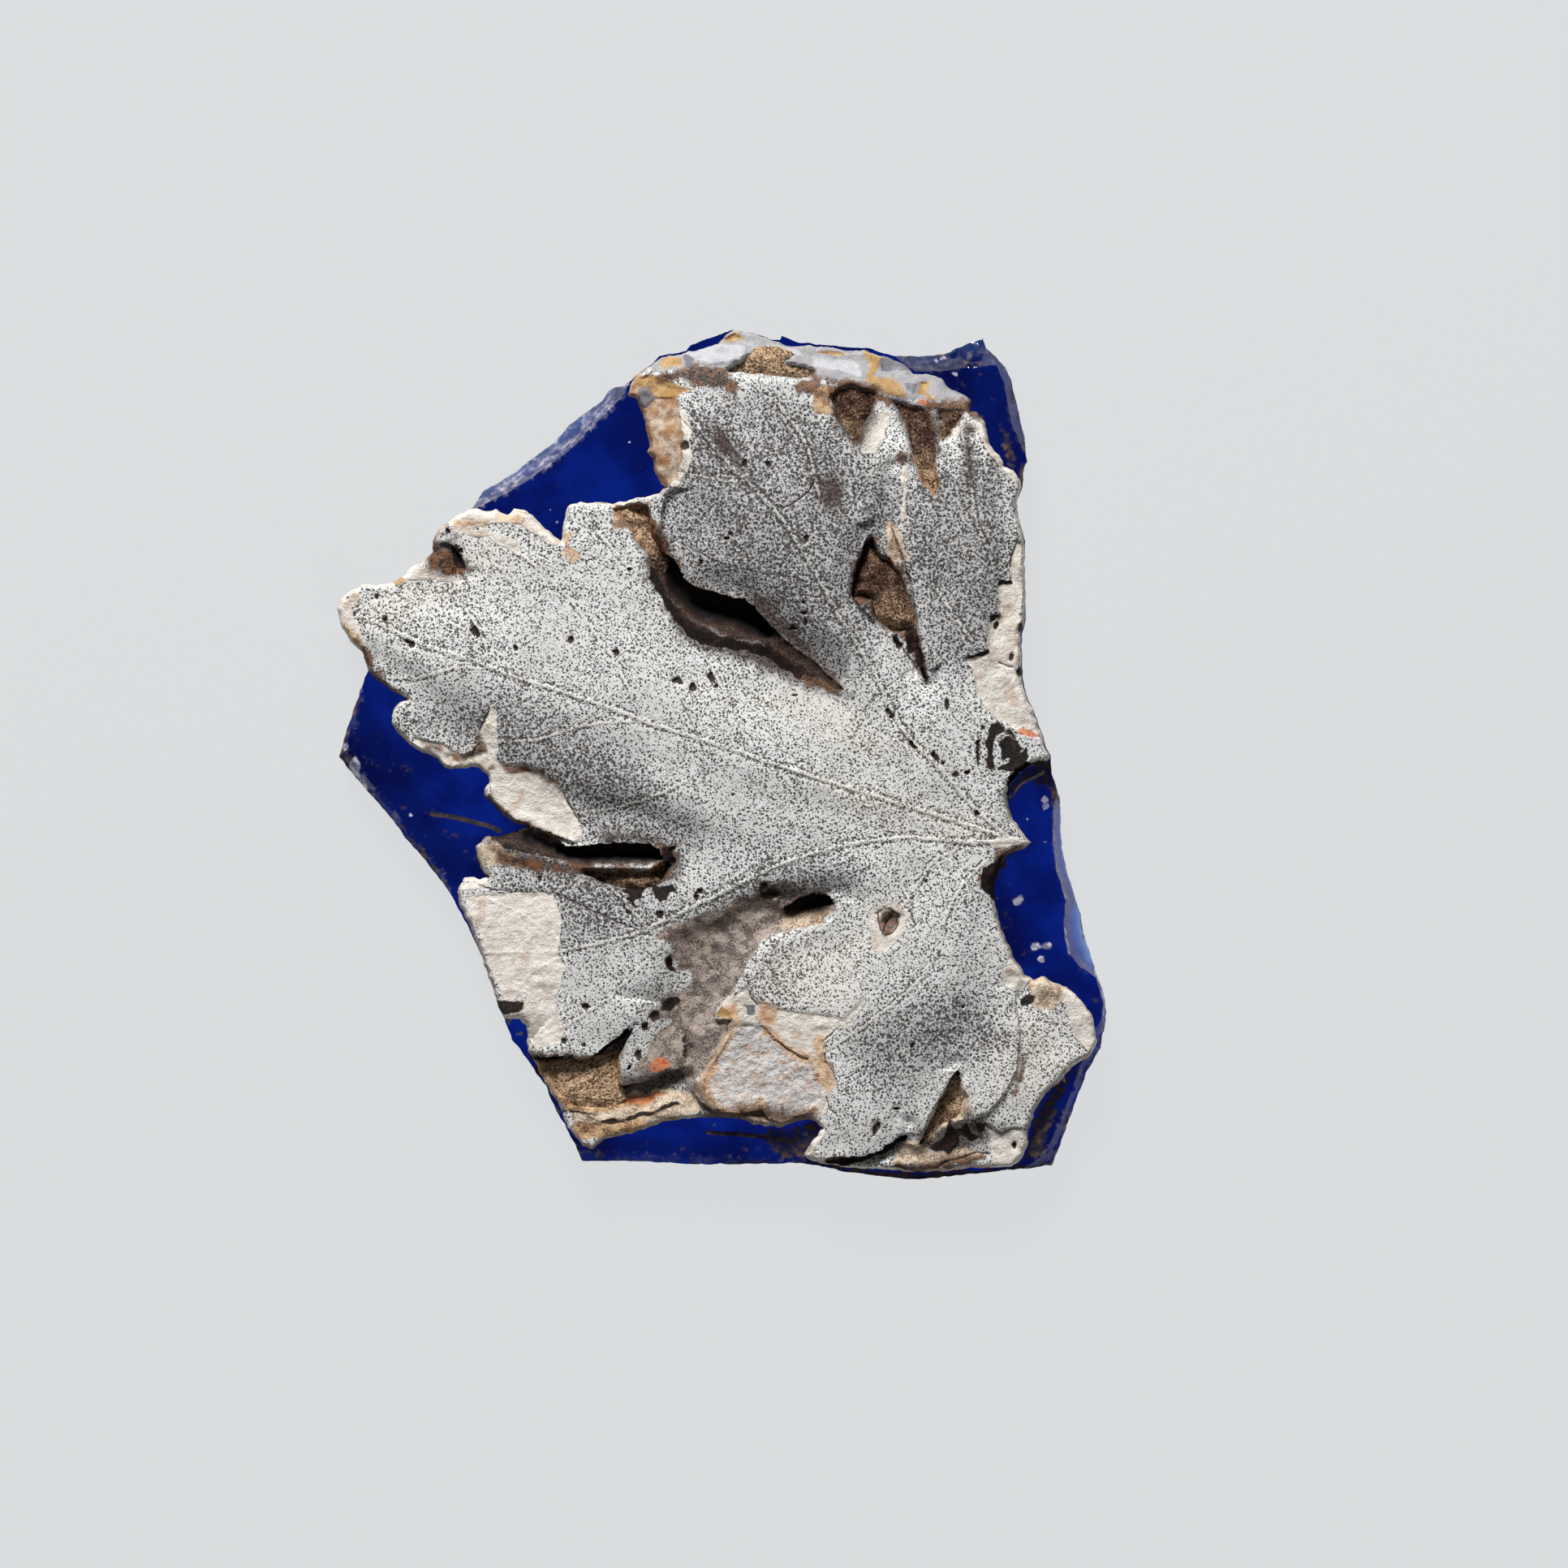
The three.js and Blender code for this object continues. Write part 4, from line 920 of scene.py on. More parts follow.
SCARPS = {
    "left edge of the bottom lobe": (0.15, 0.35, 2.2, [
        (1031, 1109), (1026, 1134), (993, 1143), (962, 1149), (943, 1155), (932, 1164), (926, 1181),
        (917, 1202), (903, 1225), (882, 1245), (881, 1256), (903, 1256), (892, 1281), (874, 1300),
        (865, 1323), (852, 1342), (859, 1357), (878, 1369), (907, 1373), (939, 1367), (947, 1380),
        (975, 1385),
    ], [(1060, 1330), (1100, 1120)]),
    "step to the second lobe": (0.05, 0.25, 1.6, [
        (1251, 1215), (1251, 1230), (1255, 1256), (1256, 1282), (1252, 1318), (1237, 1348), (1219, 1369),
        (1200, 1378),
    ], [(1160, 1340), (1200, 1220)]),
    "lower edge of the bottom lobe": (0.25, 0.55, 1.4, [
        (1004, 1434), (1018, 1430), (1040, 1427), (1065, 1425), (1085, 1418), (1100, 1408), (1117, 1393),
    ], [(1100, 1360), (1010, 1380)]),
    "left side of the bottom notch": (0.1, 0.55, 1.3, [
        (1178, 1318), (1165, 1340), (1155, 1362), (1148, 1380), (1140, 1400), (1131, 1416),
    ], [(1090, 1400), (1130, 1320)]),
    "lower edge of the left lobes": (0.2, 0.85, 3.0, [
        (648, 1296), (680, 1304), (700, 1301), (720, 1309), (735, 1303), (750, 1290), (768, 1276),
        (783, 1262), (770, 1285), (762, 1305), (760, 1325), (763, 1340), (775, 1341), (800, 1331),
        (822, 1321), (845, 1313),
    ], [(840, 1240), (700, 1220)]),
    "left and lower edge of the upper lobe": (-0.8, 0.1, 2.4, [
        (820, 604), (814, 632), (815, 655), (822, 676), (832, 698), (842, 713), (854, 722), (869, 728),
        (886, 732), (905, 737), (918, 738), (930, 750), (944, 765), (962, 783), (982, 801), (1000, 813),
        (1014, 826), (1042, 852),
    ], [(1060, 740), (930, 600)]),
    "right edge of the upper lobe": (-0.5, 0.1, 1.8, [
        (1082, 640), (1064, 668), (1053, 700), (1050, 738), (1076, 764), (1100, 782), (1120, 806),
        (1138, 836),
    ], [(1090, 840), (1020, 740), (1040, 650)]),
    "left edge of the right lobe": (0.15, 0.5, 1.6, [
        (1106, 586), (1100, 620), (1098, 650), (1108, 676), (1122, 715), (1128, 745), (1132, 790),
        (1142, 830),
    ], [(1180, 800), (1170, 620)]),
    "upper left notch": (0.1, 0.4, 1.2, [
        (536, 672), (548, 668), (560, 674), (566, 686), (574, 703),
    ], [(620, 690), (580, 640)]),
    "step under the spall's edge": (0.1, 0.25, 1.0, [
        (616, 1004), (640, 1014), (664, 1022), (700, 1036), (724, 1038),
    ], [(730, 1000), (640, 980)]),
}
spalls = {name: (drop, ragged(outline)) for name, (drop, outline) in SPALLS.items()}
scarps = [(lift, drop, run, ragged(line, closed=False, step=0.16), place(beyond))
          for lift, drop, run, line, beyond in SCARPS.values()]
print("spalls:", len(spalls), "scarps:", len(scarps))

# %% [markdown]
# ## Hollows and pits
#
# Beside the lobes the carver undercut the leaf, and those hollows are what looks black in the light. Each
# has a lip, where the edge above it drops straight down, and it opens towards the side where its floor
# comes up again. Burial left pits too: small round spots and a star-shaped hole in the bottom lobe.

# %% Hollows, soil beds and pits
HOLLOWS = {
    "under the upper lobe": (0.35, [
        (819, 682), (830, 689), (837, 700), (842, 713), (854, 722), (869, 728), (886, 732), (905, 737),
        (918, 738), (930, 750), (940, 762), (952, 774),
    ], [
        (946, 794), (930, 796), (910, 791), (888, 789), (864, 783), (844, 770), (828, 752), (816, 732),
        (806, 712), (802, 694), (806, 680),
    ]),
    "its shallow tail": (2.15, [
        (950, 772), (962, 783), (982, 801), (1000, 813), (1014, 826), (1040, 850),
    ], [
        (1024, 850), (994, 839), (974, 826), (950, 809), (944, 798),
    ]),
    "under the left lobe": (0.3, [
        (684, 1040), (697, 1044), (708, 1044), (730, 1041), (760, 1039), (800, 1040), (811, 1047),
        (816, 1056),
    ], [
        (812, 1064), (800, 1074), (760, 1073), (725, 1073), (700, 1068), (686, 1060),
    ]),
    "its left end": (0.85, [
        (606, 1030), (625, 1010), (645, 1018), (668, 1026), (685, 1034), (697, 1044),
    ], [
        (697, 1066), (680, 1061), (650, 1056), (620, 1050), (606, 1042),
    ]),
    "small, by the bottom lobe": (0.7, [
        (972, 1116), (984, 1107), (1000, 1101), (1016, 1102), (1026, 1108),
    ], [
        (1026, 1118), (1020, 1132), (1000, 1138), (975, 1144), (958, 1136), (962, 1124),
    ]),
    "crack by the lower fan": (0.5, [
        (762, 1338), (790, 1335), (810, 1327), (830, 1318), (844, 1314),
    ], [
        (840, 1328), (820, 1340), (800, 1347), (778, 1351), (764, 1349),
    ]),
    "under the bottom lobe": (0.5, [
        (1014, 1431), (1040, 1426), (1066, 1424), (1085, 1417), (1100, 1407), (1116, 1396),
    ], [
        (1116, 1406), (1104, 1418), (1086, 1428), (1060, 1434), (1030, 1437),
    ]),
    "under the fan's lower edge": (0.4, [
        (652, 1300), (680, 1303), (704, 1301), (712, 1311), (722, 1308), (740, 1294), (758, 1280),
        (774, 1266),
    ], [
        (776, 1280), (768, 1290), (750, 1302), (735, 1314), (710, 1318), (690, 1310), (665, 1308),
    ]),
    "left side of the bottom notch": (0.8, [
        (1180, 1316), (1168, 1338), (1158, 1355), (1150, 1375), (1142, 1394), (1132, 1412),
    ], [
        (1140, 1408), (1150, 1392), (1158, 1372), (1168, 1352), (1180, 1334),
    ]),
    "right side of the soil between the lobes": (1.4, [
        (1128, 764), (1122, 740), (1112, 716), (1098, 698), (1088, 704),
    ], [
        (1086, 730), (1096, 744), (1110, 750), (1118, 764),
    ]),
    "tail below that soil": (1.6, [
        (1142, 838), (1135, 818), (1130, 798), (1130, 774),
    ], [
        (1120, 776), (1118, 792), (1128, 812), (1138, 838),
    ]),
    "beside the petiole": (0.3, [
        (1262, 940), (1250, 948), (1242, 962), (1241, 984),
    ], [
        (1248, 984), (1256, 968), (1272, 960), (1286, 950), (1292, 940),
    ]),
}
SOIL_LUMPS = {
    "soil_top_notch_left": (1.5, (0.0, 1.0), (0.0, 0.6), [
        (1025, 490), (1035, 482), (1048, 476), (1062, 482), (1077, 486), (1072, 508), (1064, 522),
        (1060, 540), (1056, 550), (1042, 530)]),
    "soil_top_notch_middle": (1.4, (0.1, 1.1), (0.0, 0.8), [
        (1104, 496), (1122, 505), (1138, 507), (1145, 525), (1153, 550), (1150, 575), (1153, 608),
        (1145, 600), (1126, 562), (1118, 526)]),
    "soil_top_notch_right": (1.2, (0.1, 0.9), (0.1, 0.4), [
        (1158, 508), (1185, 508), (1178, 520), (1168, 535), (1160, 545)]),
    "soil_top_break": (0.9, (0.5, 0.6), (0.7, 0.6), [
        (922, 440), (935, 432), (950, 430), (965, 434), (974, 439), (962, 448), (985, 452), (1003, 457),
        (1000, 466), (965, 464), (930, 461), (898, 456)]),
    "soil_left_of_upper_lobe": (1.1, (0.5, 0.1), (0.7, 0.0), [
        (758, 628), (780, 624), (796, 627), (804, 660), (818, 690), (814, 712), (800, 688), (784, 662),
        (776, 646)]),
    "soil_between_lobes": (1.2, (1.5, 1.3), (0.0, 0.5), [
        (1071, 665), (1080, 686), (1092, 690), (1103, 705), (1120, 740), (1126, 772), (1100, 776),
        (1080, 764), (1076, 738), (1052, 734), (1056, 703)]),
    "soil_under_left_lobe": (0.5, (0.3, 1.1), (0.3, 0.45), [
        (722, 1074), (800, 1076), (822, 1066), (812, 1088), (790, 1096), (750, 1090)]),
    "soil_lower_left_corner": (0.3, (0.5, 0.5), (0.8, 1.0), [
        (672, 1312), (700, 1310), (735, 1306), (758, 1300), (758, 1340), (768, 1350), (740, 1362),
        (705, 1361), (688, 1342)]),
    "soil_bottom_notch": (0.9, (0.4, 0.3), (0.6, 0.5), [
        (1178, 1328), (1187, 1352), (1180, 1374), (1160, 1384), (1142, 1404), (1148, 1382), (1162, 1354)]),
}
SOIL_BANK = 0.35
STAR_PIT = (1097, 1135)
SPOTS = [
    (585, 777, 4, 6), (589, 783, 3, 4), (508, 794, 4, 4), (502, 790, 3, 2), (464, 735, 3, 3),
    (474, 763, 3, 3), (552, 654, 3, 3), (568, 679, 3, 3), (429, 735, 2, 2), (437, 757, 2, 2),
    (635, 799, 2, 3), (833, 838, 6, 4), (838, 841, 3, 3), (854, 847, 4, 5), (875, 833, 4, 4),
    (878, 838, 3, 3), (882, 845, 3, 3), (760, 803, 4, 4), (775, 701, 3, 2), (703, 788, 4, 5),
    (895, 664, 4, 3), (900, 657, 3, 3), (864, 693, 3, 3), (993, 664, 3, 4), (991, 755, 4, 3),
    (993, 766, 2, 4), (989, 742, 2, 2), (978, 774, 4, 2), (979, 857, 3, 2), (903, 980, 2, 2),
    (864, 1098, 6, 3), (858, 1105, 3, 4), (942, 1092, 5, 5), (951, 1101, 8, 4), (1162, 941, 3, 2),
    (1178, 954, 4, 4), (1192, 952, 3, 3), (1167, 868, 3, 7), (1104, 788, 4, 6), (1108, 796, 4, 4),
    (1203, 1002, 4, 4), (1210, 897, 3, 3), (1150, 929, 3, 4), (1154, 934, 3, 4), (1095, 877, 3, 3),
    (1099, 882, 3, 4), (1122, 915, 3, 3), (1127, 920, 3, 2), (1072, 914, 2, 3), (1078, 907, 2, 2),
    (721, 1240, 4, 4), (695, 1282, 3, 4), (720, 1287, 3, 2), (665, 1083, 2, 5), (787, 1300, 4, 6),
    (806, 1252, 6, 6), (795, 1265, 4, 5), (825, 1186, 4, 8), (699, 1177, 2, 3), (1228, 770, 3, 5),
    (1246, 809, 3, 6), (1256, 828, 3, 6), (1257, 773, 3, 5), (1250, 1411, 3, 4), (1077, 1393, 3, 6),
    (1082, 1387, 3, 5), (1124, 1288, 3, 4), (1186, 1240, 2, 2), (1104, 1366, 4, 2), (776, 1315, 3, 3),
    (1205, 925, 2, 20), (1140, 1086, 2, 2), (947, 573, 3, 3), (917, 570, 3, 4), (844, 549, 5, 6),
    (697, 1055, 2, 2), (829, 1046, 4, 3), (830, 1062, 4, 4), (814, 1125, 4, 3),
]
hollows = {name: (floor, ragged(lip, closed=False), ragged(opening, closed=False))
           for name, (floor, lip, opening) in HOLLOWS.items()}
print("hollows:", len(hollows), "lumps of soil:", len(SOIL_LUMPS), "spots:", len(SPOTS))

# %% [markdown]
# ## The leaf's surface
#
# The parts above now meet in one function: the form, then what lies lower, then veins and cracks, then
# the rounded rim, the hollows and the pits. The same distances go on the mesh as named layers, so that
# the material knows where a spall or a crack is without any picture.

# %% Patches of the leaf's skin
TOP_BREAK = [
    (800, 446), (806, 458), (838, 458), (844, 452), (858, 450), (880, 452), (893, 458), (912, 458),
    (940, 462), (960, 464), (985, 468), (1012, 466), (1040, 470), (1062, 474), (1078, 482), (1098, 490),
    (1125, 493), (1160, 494), (1198, 492), (1200, 480), (1130, 440), (960, 400), (890, 400), (800, 430),
]
STAINED_BREAK = [
    (766, 464), (808, 460), (820, 474), (850, 480), (836, 490), (838, 505), (842, 530), (843, 548),
    (840, 570), (836, 588), (820, 604), (800, 606), (776, 540), (776, 500),
]
CRUST = [
    (804, 462), (842, 455), (862, 450), (886, 453), (900, 462), (900, 478), (880, 481), (856, 475),
    (836, 468), (816, 475),
]
VALLEY = [
    (804, 1154), (816, 1160), (830, 1168), (835, 1185), (830, 1195), (850, 1195), (852, 1205), (845, 1220),
    (830, 1228), (815, 1245), (825, 1262), (805, 1275), (800, 1298), (788, 1306), (778, 1322), (800, 1322),
    (806, 1310), (840, 1316), (850, 1340), (866, 1362), (878, 1369), (852, 1342), (865, 1323), (892, 1281),
    (903, 1256), (881, 1256), (882, 1245), (903, 1225), (926, 1181), (943, 1155), (993, 1143), (1018, 1134),
    (1026, 1118), (1018, 1104), (972, 1106), (950, 1108), (925, 1104), (904, 1108), (890, 1120), (870, 1122),
    (850, 1132), (820, 1142),
]
PATCHES = {
    "break": [TOP_BREAK],
    "stain": [STAINED_BREAK],
    "valley": [VALLEY],
    "corner": [SPALLS["deeper in that corner"][1]],
    "spall": [outline for _, outline in SPALLS.values()] + [
        [(545, 638), (574, 626), (600, 628), (640, 630), (670, 652), (690, 668), (684, 674), (660, 660),
         (642, 646), (612, 644), (580, 650), (560, 652)],
        [(556, 650), (600, 652), (642, 668), (640, 688), (628, 678), (598, 662), (558, 658)],
        [(484, 712), (520, 698), (545, 700), (560, 710), (572, 722), (556, 720), (536, 714), (508, 714),
         (490, 724)],
        [(414, 735), (436, 724), (444, 738), (432, 752), (440, 770), (454, 796), (440, 800), (418, 770)],
        [(1296, 1212), (1320, 1220), (1340, 1240), (1354, 1270), (1344, 1296), (1330, 1284), (1318, 1262),
         (1316, 1240), (1300, 1228)],
        [(1062, 560), (1062, 540), (1066, 528), (1075, 514), (1088, 504), (1097, 508), (1094, 528),
         (1084, 550), (1078, 562)],
        [(1172, 540), (1182, 524), (1196, 519), (1210, 524), (1226, 550), (1240, 574), (1256, 588),
         (1252, 596), (1238, 584), (1222, 562), (1206, 534), (1194, 526), (1182, 532), (1174, 548)],
        [(1108, 640), (1112, 600), (1110, 580), (1118, 574), (1120, 590), (1114, 620), (1114, 644)],
        [(838, 500), (846, 506), (850, 530), (852, 560), (846, 584), (836, 600), (826, 600), (838, 570),
         (842, 540)],
        [(700, 1364), (730, 1370), (760, 1364), (800, 1356), (830, 1348), (850, 1346), (866, 1362),
         (860, 1374), (820, 1382), (800, 1374), (770, 1382), (735, 1380)],
        [(1236, 1196), (1246, 1178), (1258, 1200), (1270, 1208), (1262, 1222), (1250, 1222), (1240, 1212)],
        [(1010, 1384), (1020, 1380), (1016, 1400), (1008, 1420), (1014, 1430), (996, 1424), (1000, 1408)],
        [(560, 1082), (600, 1082), (604, 1092), (580, 1098), (562, 1098)],
        [(1212, 1036), (1250, 1032), (1268, 1038), (1250, 1043), (1222, 1046)],
    ],
    "warm": [
        [(1098, 754), (1126, 754), (1130, 770), (1112, 778), (1096, 772)],
        [(1092, 645), (1108, 645), (1112, 672), (1120, 690), (1104, 694), (1092, 680)],
        [(955, 1142), (970, 1130), (990, 1126), (1016, 1118), (1022, 1126), (1016, 1136), (980, 1146)],
        [(1180, 1326), (1192, 1350), (1198, 1370), (1184, 1380), (1168, 1380), (1150, 1400), (1136, 1412),
         (1152, 1368)],
        [(1264, 1206), (1290, 1202), (1312, 1214), (1308, 1232), (1292, 1246), (1276, 1240), (1270, 1222)],
        [(1158, 1422), (1180, 1414), (1200, 1418), (1220, 1424), (1180, 1436), (1130, 1436), (1100, 1432),
         (1104, 1416), (1118, 1404)],
        [(658, 1308), (690, 1312), (764, 1300), (764, 1348), (830, 1342), (850, 1348), (862, 1364),
         (830, 1384), (800, 1388), (742, 1404), (716, 1404), (700, 1372), (680, 1350)],
        [(604, 1036), (590, 1050), (594, 1068), (612, 1062), (640, 1070), (640, 1056), (620, 1044)],
    ],
    "tan": [
        [(1000, 480), (1018, 474), (1024, 486), (1022, 506), (1006, 512), (1000, 500)],
        [(1126, 562), (1152, 556), (1158, 590), (1154, 616), (1144, 604), (1134, 590)],
        [(660, 1308), (762, 1296), (764, 1348), (800, 1350), (800, 1362), (740, 1370), (700, 1372),
         (684, 1350)],
        [(704, 1384), (760, 1382), (796, 1378), (790, 1392), (742, 1402), (714, 1404)],
        [(724, 1072), (800, 1074), (816, 1064), (820, 1076), (806, 1090), (780, 1094), (750, 1088)],
        [(756, 624), (800, 620), (808, 646), (806, 664), (786, 668), (776, 652), (756, 652)],
        [(548, 692), (562, 688), (576, 700), (568, 708), (552, 704)],
    ],
    # Brown soil film and crust, and beside the hollows painted shade as well.
    "brown": [
        CRUST,
        [(1100, 1436), (1150, 1431), (1190, 1423), (1216, 1427), (1180, 1437), (1140, 1442), (1104, 1442)],
        [(900, 462), (906, 480), (912, 492), (904, 494), (896, 480)],
        [(974, 474), (990, 470), (1014, 466), (1012, 476), (1000, 484), (984, 486)],
        [(1000, 464), (1030, 466), (1062, 472), (1082, 484), (1104, 492), (1100, 498), (1076, 492),
         (1040, 476), (1004, 472)],
        [(1138, 496), (1196, 492), (1212, 512), (1204, 520), (1190, 510), (1160, 506), (1142, 508)],
        [(1100, 494), (1116, 500), (1146, 506), (1154, 550), (1144, 552), (1126, 548), (1116, 522)],
        [(1158, 506), (1188, 508), (1176, 524), (1166, 542), (1158, 540)],
        [(1102, 566), (1108, 556), (1122, 560), (1128, 570), (1112, 572)],
        [(1022, 480), (1080, 480), (1078, 506), (1060, 520), (1036, 518), (1024, 500)],
        [(770, 624), (798, 622), (800, 638), (780, 640)],
        [(780, 652), (800, 646), (816, 652), (824, 680), (838, 690), (836, 700), (826, 706), (816, 712),
         (800, 690), (790, 670)],
        [(1056, 690), (1066, 667), (1078, 664), (1082, 690), (1096, 686), (1112, 706), (1122, 748),
         (1132, 780), (1142, 820), (1138, 830), (1126, 806), (1116, 790), (1116, 776), (1100, 782),
         (1082, 770), (1072, 742), (1056, 742), (1048, 732)],
        [(950, 796), (966, 802), (984, 812), (1004, 834), (1016, 830), (1042, 852), (1030, 856), (1000, 844),
         (984, 834), (970, 828), (958, 812)],
        [(606, 1044), (640, 1056), (668, 1064), (704, 1072), (728, 1076), (690, 1072), (650, 1070),
         (618, 1066)],
        [(806, 1042), (822, 1042), (834, 1048), (834, 1066), (820, 1082), (806, 1080), (818, 1062)],
        [(534, 664), (548, 680), (563, 672), (576, 702), (560, 712), (541, 706), (528, 700)],
        [(650, 1300), (672, 1300), (720, 1306), (760, 1290), (750, 1300), (720, 1322), (680, 1312)],
        [(1228, 1044), (1262, 1042), (1246, 1056), (1232, 1080), (1228, 1112), (1216, 1100), (1204, 1086),
         (1218, 1070)],
        [(592, 900), (586, 920), (570, 932), (545, 922), (508, 906), (520, 916), (548, 930), (570, 940),
         (600, 930)],
        [(604, 944), (640, 944), (672, 948), (688, 966), (660, 956), (620, 948)],
        [(596, 980), (610, 984), (628, 1004), (660, 1016), (700, 1034), (690, 1040), (650, 1022),
         (612, 1000)],
        [(1246, 1350), (1256, 1320), (1256, 1286), (1262, 1290), (1262, 1330), (1248, 1356)],
        [(442, 788), (456, 804), (462, 824), (480, 842), (498, 858), (480, 854), (456, 836), (448, 812)],
        [(1083, 1122), (1098, 1119), (1108, 1130), (1104, 1148), (1090, 1156), (1083, 1142)],
        [(700, 1062), (740, 1068), (800, 1070), (818, 1056), (822, 1070), (806, 1082), (740, 1080),
         (706, 1074)],
    ],
    "toast": [
        [(855, 1344), (866, 1322), (884, 1290), (900, 1262), (884, 1252), (888, 1238), (905, 1238),
         (915, 1256), (900, 1280), (884, 1310), (874, 1345), (882, 1360), (905, 1364), (940, 1356),
         (952, 1372), (985, 1374), (1000, 1364), (1014, 1370), (975, 1385), (945, 1383), (905, 1375),
         (870, 1369)],
        [(936, 1258), (952, 1266), (966, 1282), (984, 1292), (1000, 1300), (1008, 1320), (996, 1312),
         (976, 1302), (958, 1292), (944, 1276)],
        [(1002, 1276), (1020, 1272), (1014, 1294), (1024, 1318), (1030, 1334), (1020, 1350), (1008, 1330),
         (1004, 1300)],
        [(936, 1236), (954, 1240), (958, 1262), (946, 1268), (938, 1254)],
        [(424, 764), (436, 778), (448, 796), (456, 812), (444, 800), (428, 782)],
        [(606, 634), (640, 634), (648, 650), (630, 642)], [(560, 642), (600, 640), (600, 646), (562, 650)],
        [(690, 664), (700, 660), (712, 686), (704, 692)],
    ],
    # Near-black: dark dirt and marks, and painted shadow in the hollows, in the notches and under the lobes'
    # lower edges.
    "dark": [
        [(804, 694), (824, 735), (852, 764), (884, 783), (924, 791), (950, 798), (972, 816), (992, 830),
         (985, 836), (966, 826), (944, 810), (920, 802), (896, 800), (870, 796), (846, 782), (818, 748),
         (800, 712)],
        [(806, 700), (830, 740), (860, 766), (900, 784), (930, 788), (950, 796), (936, 778), (905, 768),
         (870, 762), (845, 748), (826, 722), (814, 698)],
        [(1219, 890), (1231, 889), (1238, 899), (1227, 908), (1223, 925), (1225, 946), (1217, 946),
         (1215, 915)],
        [(1231, 914), (1242, 907), (1254, 912), (1260, 922), (1242, 934), (1230, 938), (1233, 925)],
        [(1246, 929), (1268, 922), (1264, 938), (1247, 951), (1225, 948), (1240, 940)],
        [(1238, 899), (1248, 899), (1254, 908), (1244, 906)],
        [(1264, 944), (1276, 940), (1294, 935), (1290, 950), (1270, 960), (1252, 966), (1245, 984),
         (1241, 975), (1248, 956)],
        [(1066, 668), (1076, 664), (1078, 684), (1070, 690), (1066, 705), (1064, 725), (1058, 730),
         (1050, 742), (1048, 730), (1053, 705), (1058, 690)],
        [(1118, 770), (1128, 772), (1132, 790), (1130, 800), (1120, 806), (1116, 792)],
        [(1127, 798), (1137, 798), (1140, 818), (1132, 822)],
        [(1135, 822), (1140, 822), (1144, 838), (1140, 840)],
        [(944, 766), (962, 784), (982, 802), (1000, 814), (1016, 830), (1004, 836), (986, 828), (966, 812),
         (946, 798), (938, 780)],
        [(604, 1030), (630, 1020), (660, 1034), (690, 1044), (690, 1056), (650, 1052), (622, 1046)],
        [(764, 1096), (780, 1092), (800, 1088), (796, 1098), (788, 1108), (776, 1106)],
        [(800, 1086), (812, 1092), (830, 1089), (833, 1098), (822, 1104), (812, 1112), (806, 1098)],
        [(767, 1103), (777, 1105), (786, 1120), (777, 1114)],
        [(761, 1113), (768, 1115), (779, 1129), (771, 1126)],
        [(810, 1121), (818, 1125), (816, 1131), (809, 1127)],
        [(816, 1044), (828, 1046), (828, 1054), (834, 1060), (828, 1070), (818, 1064)],
        [(817, 1178), (827, 1178), (828, 1190), (836, 1198), (826, 1197), (819, 1188)],
        [(1213, 1070), (1230, 1058), (1242, 1050), (1234, 1068), (1228, 1090), (1228, 1108), (1216, 1102),
         (1207, 1088)],
        [(819, 1233), (836, 1229), (840, 1236), (826, 1244), (814, 1245)],
        [(936, 1092), (948, 1090), (952, 1098), (964, 1102), (950, 1107), (938, 1104)],
        [(1144, 1415), (1158, 1404), (1166, 1396), (1170, 1378), (1178, 1390), (1184, 1398), (1179, 1413),
         (1172, 1421), (1166, 1425), (1164, 1416), (1154, 1421)],
        [(1181, 1394), (1190, 1381), (1197, 1396), (1213, 1398), (1206, 1405), (1194, 1405)],
        [(1202, 1382), (1215, 1384), (1214, 1391), (1206, 1395)],
        [(1255, 1229), (1266, 1224), (1277, 1228), (1271, 1236), (1262, 1238), (1257, 1244)],
        [(610, 1233), (648, 1235), (646, 1245), (632, 1247), (616, 1252)],
        [(556, 676), (563, 668), (570, 688), (576, 700), (562, 698)],
        [(1010, 1432), (1030, 1425), (1065, 1425), (1090, 1415), (1104, 1403), (1117, 1397), (1110, 1408),
         (1090, 1420), (1062, 1432), (1036, 1436)],
        [(727, 1382), (760, 1379), (800, 1369), (834, 1358), (836, 1362), (800, 1374), (760, 1384),
         (732, 1387)],
        [(1228, 717), (1245, 713), (1245, 719), (1230, 723)],
        [(1217, 760), (1232, 755), (1232, 761), (1219, 766)],
        [(1184, 811), (1216, 800), (1218, 806), (1200, 812)],
        [(1176, 1322), (1164, 1344), (1154, 1364), (1146, 1386), (1134, 1408), (1142, 1404), (1154, 1384),
         (1162, 1362), (1172, 1344), (1180, 1330)],
    ],
    "rust": [
        [(800, 1320), (802, 1308), (815, 1302), (824, 1308), (824, 1316), (814, 1322)],
        [(768, 1358), (776, 1350), (795, 1352), (810, 1346), (822, 1348), (800, 1358), (780, 1361)],
        [(1253, 899), (1266, 898), (1282, 908), (1272, 912), (1258, 905)],
        [(1132, 492), (1142, 494), (1140, 500), (1132, 497)],
    ],
    "ochre": [
        [(810, 448), (820, 438), (843, 439), (838, 453), (816, 454)],
        [(888, 418), (905, 410), (918, 418), (900, 423)],
        [(866, 438), (893, 422), (890, 432), (872, 434)],
        [(1000, 431), (1046, 433), (1042, 438), (1008, 437)],
        [(1064, 431), (1088, 438), (1085, 450), (1076, 462), (1100, 466), (1120, 488), (1095, 487),
         (1066, 470), (1071, 455)],
        [(1132, 470), (1146, 470), (1141, 482), (1156, 493), (1128, 487)],
        [(784, 468), (806, 462), (830, 471), (850, 481), (836, 490), (806, 492), (790, 484)],
        [(480, 716), (490, 708), (500, 716), (490, 722)],
        [(880, 1252), (884, 1242), (892, 1240), (906, 1252)],
    ],
    "grey": [
